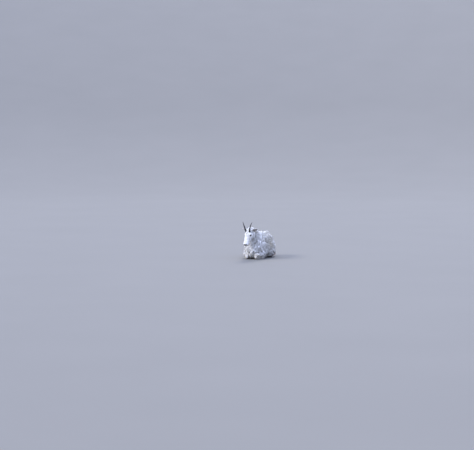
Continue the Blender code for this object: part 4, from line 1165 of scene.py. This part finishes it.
def under_coat(material):
    """Short, woolly strands that close the gaps between the clumps of the long coat."""
    rng = np.random.default_rng(SEED + 1)

    def weight(points, normals):
        return shown(points, normals) * smooth(LONG_FROM * 0.6, LONG_FROM, hair_length(points))

    roots, normals = sample(UNDER_STRANDS, weight, rng)
    count = len(roots)
    lengths = np.minimum(UNDER_LONGEST, 0.5 * hair_length(roots)) * rng.uniform(0.8, 1.2, count)
    rises = lengths * rng.uniform(0.28, 0.50, count)
    lines, ups = grow(roots, normals, lengths, rises, rng.normal(0, 0.35, count), len(SHORT_TIMES) - 1)
    widths = rng.uniform(*UNDER_WIDTHS, count)
    tones = rng.uniform(0.92, 1.0, count)
    left = roots[:, 1] < sway(roots[:, 0])
    kept = clear_of_ears(lines)
    for side, mine in (("left", kept & left), ("right", kept & ~left)):
        piece = (lines[mine], ups[mine], widths[mine], 0.45, SHORT_PROFILE, tones[mine])
        coat_piece(f"under_coat_{side}", *piece, material)


def short_fur(material):
    """Short fur that lies flat on the face, ears and lower legs."""
    rng = np.random.default_rng(SEED + 2)

    def weight(points, normals):
        short = smooth(LONG_FROM * 1.3, LONG_FROM * 0.8, hair_length(points))
        head = on_head(points) | (ear_places(points)[0] > 0)
        share, _, opens = ear_places(points)
        hollow = (share > 0) * smooth(0.1, 0.5, dot(normals, opens))
        return shown(points, normals) * short * np.where(head, 1.0, 0.45) * (1 - 0.75 * hollow)

    roots, normals = sample(SHORT_STRANDS, weight, rng)
    count = len(roots)
    lengths = hair_length(roots) * rng.uniform(0.75, 1.2, count)
    rises = lengths * rng.uniform(0.16, 0.34, count)
    lines, ups = grow(roots, normals, lengths, rises, rng.normal(0, 0.22, count), len(SHORT_TIMES) - 1)
    widths = 0.0008 + 0.075 * lengths * rng.uniform(0.8, 1.2, count)
    tones = rng.uniform(0.86, 1.03, count)
    head = on_head(roots) | (ear_places(roots)[0] > 0)
    left = head_coordinates(roots)[:, 1] < 0
    pieces = (("face_fur_left", head & ~left), ("face_fur_right", head & left), ("leg_fur", ~head))
    for name, mine in pieces:
        thin = np.minimum(widths[mine], SHORT_WIDEST)
        coat_piece(name, lines[mine], ups[mine], thin, 0.4, SHORT_PROFILE, tones[mine], material)


def new_material(name):
    """An empty material with its nodes and its shader."""
    made = bpy.data.materials.new(name)
    made.use_nodes = True
    tree = made.node_tree
    return made, tree, tree.nodes["Principled BSDF"]


def node(tree, kind, **settings):
    """A node with its settings."""
    made = tree.nodes.new(kind)
    for key, value in settings.items():
        setattr(made, key, value)
    return made


def noise(tree, scale, detail=3.0, stretch=(1, 1, 1)):
    """A noise on the object's own coordinates, in metres."""
    place = node(tree, "ShaderNodeTexCoord")
    mapping = node(tree, "ShaderNodeMapping")
    mapping.inputs["Scale"].default_value = stretch
    pattern = node(tree, "ShaderNodeTexNoise")
    pattern.inputs["Scale"].default_value = scale
    pattern.inputs["Detail"].default_value = detail
    tree.links.new(place.outputs["Object"], mapping.inputs["Vector"])
    tree.links.new(mapping.outputs["Vector"], pattern.inputs["Vector"])
    return pattern.outputs["Fac"]


def ranged(tree, value, low, high, new_low, new_high):
    """A value stretched from one range to another."""
    made = node(tree, "ShaderNodeMapRange")
    names = ("From Min", "From Max", "To Min", "To Max")
    for name, number in zip(names, (low, high, new_low, new_high)):
        made.inputs[name].default_value = number
    tree.links.new(value, made.inputs["Value"])
    return made.outputs["Result"]


def scaled(tree, colour, factor):
    """A colour times a number that varies over the surface."""
    made = node(tree, "ShaderNodeVectorMath", operation="SCALE")
    tree.links.new(colour, made.inputs[0])
    tree.links.new(factor, made.inputs["Scale"])
    return made.outputs["Vector"]


def bumped(tree, shader, height, strength, distance):
    """Fine relief on a shader."""
    made = node(tree, "ShaderNodeBump")
    made.inputs["Strength"].default_value = strength
    made.inputs["Distance"].default_value = distance
    tree.links.new(height, made.inputs["Height"])
    tree.links.new(made.outputs["Normal"], shader.inputs["Normal"])


def fur_material():
    """Hair: the strand's own colour, a little brighter and duller from place to place, soft and matt."""
    made, tree, shader = new_material("winter_coat")
    colour = node(tree, "ShaderNodeAttribute", attribute_name="fur_colour")
    vary = ranged(tree, noise(tree, 90.0), 0.3, 0.7, 0.94, 1.05)
    tree.links.new(scaled(tree, colour.outputs["Color"], vary), shader.inputs["Base Color"])
    shader.inputs["Roughness"].default_value = 0.62
    shader.inputs["Specular IOR Level"].default_value = 0.30
    shader.inputs["Sheen Weight"].default_value = 0.15
    return made


def skin_material():
    """Skin and the short fur on it: fine streaks in relief, glossy and dark on nose and lips."""
    made, tree, shader = new_material("skin_and_short_fur")
    colour = node(tree, "ShaderNodeAttribute", attribute_name="fur_colour")
    vary = ranged(tree, noise(tree, 160.0), 0.3, 0.7, 0.90, 1.06)
    tree.links.new(scaled(tree, colour.outputs["Color"], vary), shader.inputs["Base Color"])
    bare = node(tree, "ShaderNodeAttribute", attribute_name="bare_skin")
    tree.links.new(ranged(tree, bare.outputs["Fac"], 0.0, 1.0, 0.78, 0.38), shader.inputs["Roughness"])
    bumped(tree, shader, noise(tree, 420.0, 4.0, (1.0, 1.0, 0.25)), 0.8, 0.003)
    return made


def horn_material():
    """Horn: near black, browner in streaks, with fine grain along it."""
    made, tree, shader = new_material("black_horn")
    ramp = node(tree, "ShaderNodeValToRGB")
    ramp.color_ramp.elements[0].color = (0.006, 0.0055, 0.005, 1)
    ramp.color_ramp.elements[1].color = (0.030, 0.025, 0.021, 1)
    tree.links.new(noise(tree, 60.0, 5.0, (1, 1, 0.2)), ramp.inputs["Fac"])
    tree.links.new(ramp.outputs["Color"], shader.inputs["Base Color"])
    tree.links.new(ranged(tree, noise(tree, 200.0), 0.3, 0.7, 0.40, 0.60), shader.inputs["Roughness"])
    bumped(tree, shader, noise(tree, 500.0, 4.0, (1, 1, 0.12)), 0.35, 0.0006)
    return made


def hoof_material():
    """Hoof: dark grey horn, scuffed paler in patches."""
    made, tree, shader = new_material("hoof_horn")
    ramp = node(tree, "ShaderNodeValToRGB")
    ramp.color_ramp.elements[0].position = 0.35
    ramp.color_ramp.elements[0].color = (0.022, 0.020, 0.019, 1)
    ramp.color_ramp.elements[1].position = 0.72
    ramp.color_ramp.elements[1].color = (0.120, 0.105, 0.088, 1)
    tree.links.new(noise(tree, 110.0, 5.0), ramp.inputs["Fac"])
    tree.links.new(ramp.outputs["Color"], shader.inputs["Base Color"])
    tree.links.new(ranged(tree, noise(tree, 300.0), 0.3, 0.7, 0.42, 0.68), shader.inputs["Roughness"])
    bumped(tree, shader, noise(tree, 320.0, 4.0, (0.3, 1, 1)), 0.4, 0.0008)
    return made


def eye_material():
    """Eye: dark amber iris with finer rays, a level pupil, and a wet, clear front."""
    made, tree, shader = new_material("wet_eye")
    gaze = node(tree, "ShaderNodeUVMap", uv_map="gaze")
    split = node(tree, "ShaderNodeSeparateXYZ")
    tree.links.new(gaze.outputs["UV"], split.inputs["Vector"])

    def math_node(operation, first, second=None):
        """The result of one sum on numbers or sockets."""
        made = node(tree, "ShaderNodeMath", operation=operation)
        for k, value in enumerate((first, second)):
            if value is None:
                continue
            if isinstance(value, (int, float)):
                made.inputs[k].default_value = value
            else:
                tree.links.new(value, made.inputs[k])
        return made.outputs[0]

    x = math_node("SUBTRACT", split.outputs["X"], 0.5)
    y = math_node("SUBTRACT", split.outputs["Y"], 0.5)
    radius = math_node("SQRT", math_node("ADD", math_node("POWER", x, 2.0), math_node("POWER", y, 2.0)))
    pupil_x = math_node("POWER", math_node("DIVIDE", math_node("ABSOLUTE", x), PUPIL_HALF[0]), 4.0)
    pupil_y = math_node("POWER", math_node("DIVIDE", math_node("ABSOLUTE", y), PUPIL_HALF[1]), 4.0)
    pupil = ranged(tree, math_node("ADD", pupil_x, pupil_y), 0.7, 1.3, 1.0, 0.0)
    ramp = node(tree, "ShaderNodeValToRGB")
    colours = ramp.color_ramp.elements
    colours[0].position, colours[0].color = IRIS_STOPS[0]
    colours[1].position, colours[1].color = IRIS_STOPS[1]
    for place, colour in IRIS_STOPS[2:]:
        colours.new(place).color = colour
    tree.links.new(radius, ramp.inputs["Fac"])
    rays = ranged(tree, noise(tree, 900.0, 4.0), 0.3, 0.7, 0.75, 1.25)
    iris = scaled(tree, ramp.outputs["Color"], rays)
    dark = math_node("SUBTRACT", 1.0, math_node("MULTIPLY", pupil, 0.96))
    tree.links.new(scaled(tree, iris, dark), shader.inputs["Base Color"])
    shader.inputs["Roughness"].default_value = 0.12
    shader.inputs["Coat Weight"].default_value = 1.0
    shader.inputs["Coat Roughness"].default_value = 0.02
    return made


def floor_material():
    """A plain, pale and matt floor."""
    made, tree, shader = new_material("pale_floor")
    ramp = node(tree, "ShaderNodeValToRGB")
    ramp.color_ramp.elements[0].color = (0.142, 0.138, 0.128, 1)
    ramp.color_ramp.elements[1].color = (0.156, 0.151, 0.140, 1)
    tree.links.new(noise(tree, 0.6), ramp.inputs["Fac"])
    tree.links.new(ramp.outputs["Color"], shader.inputs["Base Color"])
    shader.inputs["Roughness"].default_value = 0.9
    return made


def finish_skin():
    """The skin's colours, and the nodes of flesh that it stands for."""
    points = SKIN_POINTS
    bare = dark_edges(points, MOUTH, NOSTRILS)
    colours = coat_tint(points) * SKIN_SHADE
    share, _, opens = ear_places(points)
    normals = np.zeros(len(points) * 3, np.float32)
    skin.data.vertex_normals.foreach_get("vector", normals)
    # Inside of the ears: pink skin, darkened with painted shade for the shadow in the hollow.
    inner = smooth(0.2, 0.6, dot(normals.reshape(-1, 3), opens))
    inner = inner * (share > 0.05) * smooth(1.0, 0.8, share)
    colours += (np.array(EAR_PINK_AND_HOLLOW_SHADE) - colours) * (0.90 * inner)[:, None]
    colours += (np.array(NOSE_BLACK) - colours) * bare[:, None]
    set_colour(skin, colours)
    layer = skin.data.attributes.new("bare_skin", "FLOAT", "POINT")
    layer.data.foreach_set("value", bare.astype(np.float32))
    skin.data.vertices.foreach_set("co", (points + SHIFT).astype(np.float32).ravel())
    skin.data.shade_smooth()
    skin.data.materials.clear()
    skin.data.materials.append(skin_material())
    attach(skin, "root")
    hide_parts(*FLESH_NODES)


def eyes(material):
    """Eyeballs with a raised cornea, turned to look out between the lids."""
    for side, name in ((-1, "left"), (1, "right")):
        facing, length_way, height_way = eye_axes(side)
        turns = np.linspace(0, 2 * math.pi, 40, endpoint=False)
        around = np.outer(np.cos(turns), length_way) + np.outer(np.sin(turns), height_way)
        rings = []
        for angle in np.radians(np.linspace(2, 178, 44)):
            radius = EYE_RADIUS * (0.985 + CORNEA_RISE * smooth(0.62, 0.30, angle))
            out = math.cos(angle) * facing + math.sin(angle) * around
            rings.append(eye_point(side) + radius * out)
        points, faces = loft(rings)
        made = mesh_object(f"eyeball_{name}", points + SHIFT, faces)
        away = points - eye_point(side)
        uv = 0.5 + np.stack([away @ length_way, away @ height_way], axis=1) / (2 * EYE_RADIUS)
        set_uv(made, "gaze", uv, faces)
        made.data.materials.append(material)
        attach(made, "root")
        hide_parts(f"eye_{name}")


def horns(material):
    """Slender horns that curve back, with rings of growth at their base."""
    for side, name in ((-1, "left"), (1, "right")):
        steps = 180
        shares = np.linspace(0, 1, steps + 1)
        lean = HORN_LEAN[0] + (HORN_LEAN[1] - HORN_LEAN[0]) * shares**1.3
        splay = HORN_SPLAY[0] + (HORN_SPLAY[1] - HORN_SPLAY[0]) * shares
        ways = unit(np.stack([np.cos(lean), -side * splay, np.sin(lean)], axis=1))
        start = np.array([HORN_AT[0], -side * HORN_AT[1], HORN_AT[2]])
        run = np.concatenate([np.zeros((1, 3)), np.cumsum(ways[:-1], axis=0)])
        path = start + run * (HORN_LENGTH + HORN_ROOT) / steps
        turns = np.linspace(0, 2 * math.pi, 36, endpoint=False)
        rings = []
        for share, way, spot in zip(shares, ways, path):
            across = unit(np.cross(way, [1.0, 0.0, 0.0]))
            over = np.cross(across, way)
            radius = HORN_TIP_RADIUS + (HORN_RADIUS - HORN_TIP_RADIUS) * (1 - share) ** 0.85
            base = smooth(0.60, 0.12, share)
            ripple = RING_HEIGHT * math.sin(2 * math.pi * (share * GROWTH_RINGS + 0.6 * share**2)) * base
            ripple += FINE_HEIGHT * math.sin(2 * math.pi * share * FINE_RINGS) * base
            radius *= 1 + ripple
            uneven = 1 + 0.02 * base * np.sin(3 * turns + 9 * share)
            ring = np.outer(np.cos(turns) * uneven * radius * HORN_FLAT, across)
            rings.append(in_head(spot + ring + np.outer(np.sin(turns) * uneven * radius, over)))
        points, faces = loft(rings)
        made = mesh_object(f"curved_horn_{name}", points + SHIFT, faces)
        made.data.materials.append(material)
        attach(made, "root")
        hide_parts(f"horn_{name}")


def toe(at, way, up, size):
    """One toe of a hoof: a blunt wedge from the coronet to its tip, flat along the sole."""
    at = np.asarray(at, float)
    way = unit(way)
    up = np.asarray(up, float)
    up = unit(up - way * (up @ way))
    across = np.cross(way, up)
    length, width, height = size
    angles = np.linspace(0, 2 * math.pi, 36, endpoint=False)
    rings = []
    for share in np.linspace(0, 1, 24):
        half = along(TOE_OUTLINE[0], TOE_OUTLINE[1], share)
        high = along(TOE_OUTLINE[0], TOE_OUTLINE[2], share)
        groove = 1 + 0.012 * math.sin(2 * math.pi * share * 7)
        y = np.cos(angles) * half * width / 2 * groove
        z = np.maximum(np.sin(angles), -TOE_SOLE) * high - (1 - high) * TOE_SOLE
        rings.append(at + way * length * share + np.outer(y, across) + np.outer(z * height / 2, up))
    return loft(rings)


def hooves(material):
    """The two toes of each foot, fore feet folded back under and hind feet pointing forward."""
    for side, side_name in ((-1, "left"), (1, "right")):
        for spread, toe_name in ((-1, "inner"), (1, "outer")):
            for end, place, size in (("fore", FORE_HOOF_AT, FORE_TOE), ("hind", HIND_HOOF_AT, HIND_TOE)):
                x, y, z = place
                at = (x, side * (y + spread * TOE_APART) + sway(x), z)
                if end == "fore":
                    way, up = (1.0, side * (0.18 + spread * 0.10), -0.05), (0, 0, -1)
                else:
                    way, up = (-1.0, side * (0.12 + spread * 0.12), -0.06), (0, 0, 1)
                points, faces = toe(at, way, up, size)
                name = f"{end}_{side_name}_{toe_name}"
                made = mesh_object(f"toe_{name}", points + SHIFT, faces)
                made.data.materials.append(material)
                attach(made, "root")
                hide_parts(f"hoof_{name}")


def camera_axes():
    """The ways back to the camera, to its right and up."""
    a = math.radians(CAMERA_AZIMUTH)
    e = math.radians(CAMERA_ELEVATION)
    back = Vector((math.sin(a) * math.cos(e), -math.cos(a) * math.cos(e), math.sin(e)))
    right = Vector((math.cos(a), math.sin(a), 0.0))
    return back, right, back.cross(right)


def camera():
    """A long lens at the photograph's angle, placed so that the near eye falls on its pixel."""
    back, right, up = camera_axes()
    eye = Vector(eye_point(-1) + SHIFT)
    aside = (EYE_PIXEL[0] - PHOTO_WIDTH / 2) * METRES_PER_PIXEL
    above = (PHOTO_HEIGHT / 2 - EYE_PIXEL[1]) * METRES_PER_PIXEL
    data = bpy.data.cameras.new("camera")
    data.sensor_width = 36.0
    data.lens = data.sensor_width * CAMERA_DISTANCE / (PHOTO_WIDTH * METRES_PER_PIXEL)
    data.clip_end = 200.0
    made = bpy.data.objects.new("camera", data)
    made.location = eye - right * aside - up * above + back * CAMERA_DISTANCE
    made.rotation_mode = "QUATERNION"
    made.rotation_quaternion = (-back).to_track_quat("-Z", "Y")
    bpy.context.scene.collection.objects.link(made)
    bpy.context.scene.camera = made


def soft_light(name, way, strength, colour):
    """Even light from one way, given as back, right and up of the camera, as soft as a large panel."""
    way = sum((axis * share for axis, share in zip(camera_axes(), way)), Vector())
    data = bpy.data.lights.new(name, "SUN")
    data.energy = strength
    data.angle = math.radians(LIGHT_SPREAD)
    data.color = colour
    made = bpy.data.objects.new(name, data)
    made.location = way * 6.0
    made.rotation_mode = "QUATERNION"
    made.rotation_quaternion = way.to_track_quat("Z", "Y")
    bpy.context.scene.collection.objects.link(made)


def studio_bowl():
    """A level floor that rises gently far out, so that it fills the picture and no edge of it shows."""
    turns = np.linspace(0, 2 * math.pi, 96, endpoint=False)
    rings = [(radius, 0.0) for radius in (0.5, 3.0, 8.0, 14.0, FLOOR_REACH)]
    for bend in np.radians(np.linspace(1, FLOOR_SLOPE, 22)):
        rings.append((FLOOR_REACH + BEND * math.sin(bend), BEND * (1 - math.cos(bend))))
    slope = math.tan(math.radians(FLOOR_SLOPE))
    rings.append((rings[-1][0] + SLOPE_REACH, rings[-1][1] + SLOPE_REACH * slope))
    circle = np.stack([np.cos(turns), np.sin(turns)], axis=1)
    points = []
    for radius, height in rings:
        points.append(np.column_stack([circle * radius, np.full(len(turns), height)]))
    points = np.concatenate(points + [np.zeros((1, 3))])
    k = np.arange(len(turns))
    after = (k + 1) % len(turns)
    centre = np.full(len(turns), len(points) - 1)
    faces = [np.stack([centre, k, after], axis=1)]
    for low in range(0, (len(rings) - 1) * len(turns), len(turns)):
        high = low + len(turns)
        faces.append(np.stack([low + k, high + k, high + after], axis=1))
        faces.append(np.stack([low + k, high + after, low + after], axis=1))
    return points, np.concatenate(faces)


def studio():
    """Pale floor, a soft key light from the picture's upper left, a rim light and a cool surround."""
    floor = mesh_object("floor", *studio_bowl())
    floor.data.materials.append(floor_material())
    soft_light("key", KEY_WAY, KEY_STRENGTH, KEY_COLOUR)
    soft_light("rim", RIM_WAY, RIM_STRENGTH, RIM_COLOUR)
    world = bpy.data.worlds.new("surround")
    world.use_nodes = True
    light = world.node_tree.nodes["Background"]
    light.inputs["Color"].default_value = SURROUND_COLOUR
    light.inputs["Strength"].default_value = SURROUND_STRENGTH
    bpy.context.scene.world = world
    bpy.context.scene.view_settings.view_transform = "Standard"


finish_skin()
COAT = fur_material()
long_coat(COAT)
under_coat(COAT)
short_fur(COAT)
eyes(eye_material())
horns(horn_material())
hooves(hoof_material())
camera()
studio()
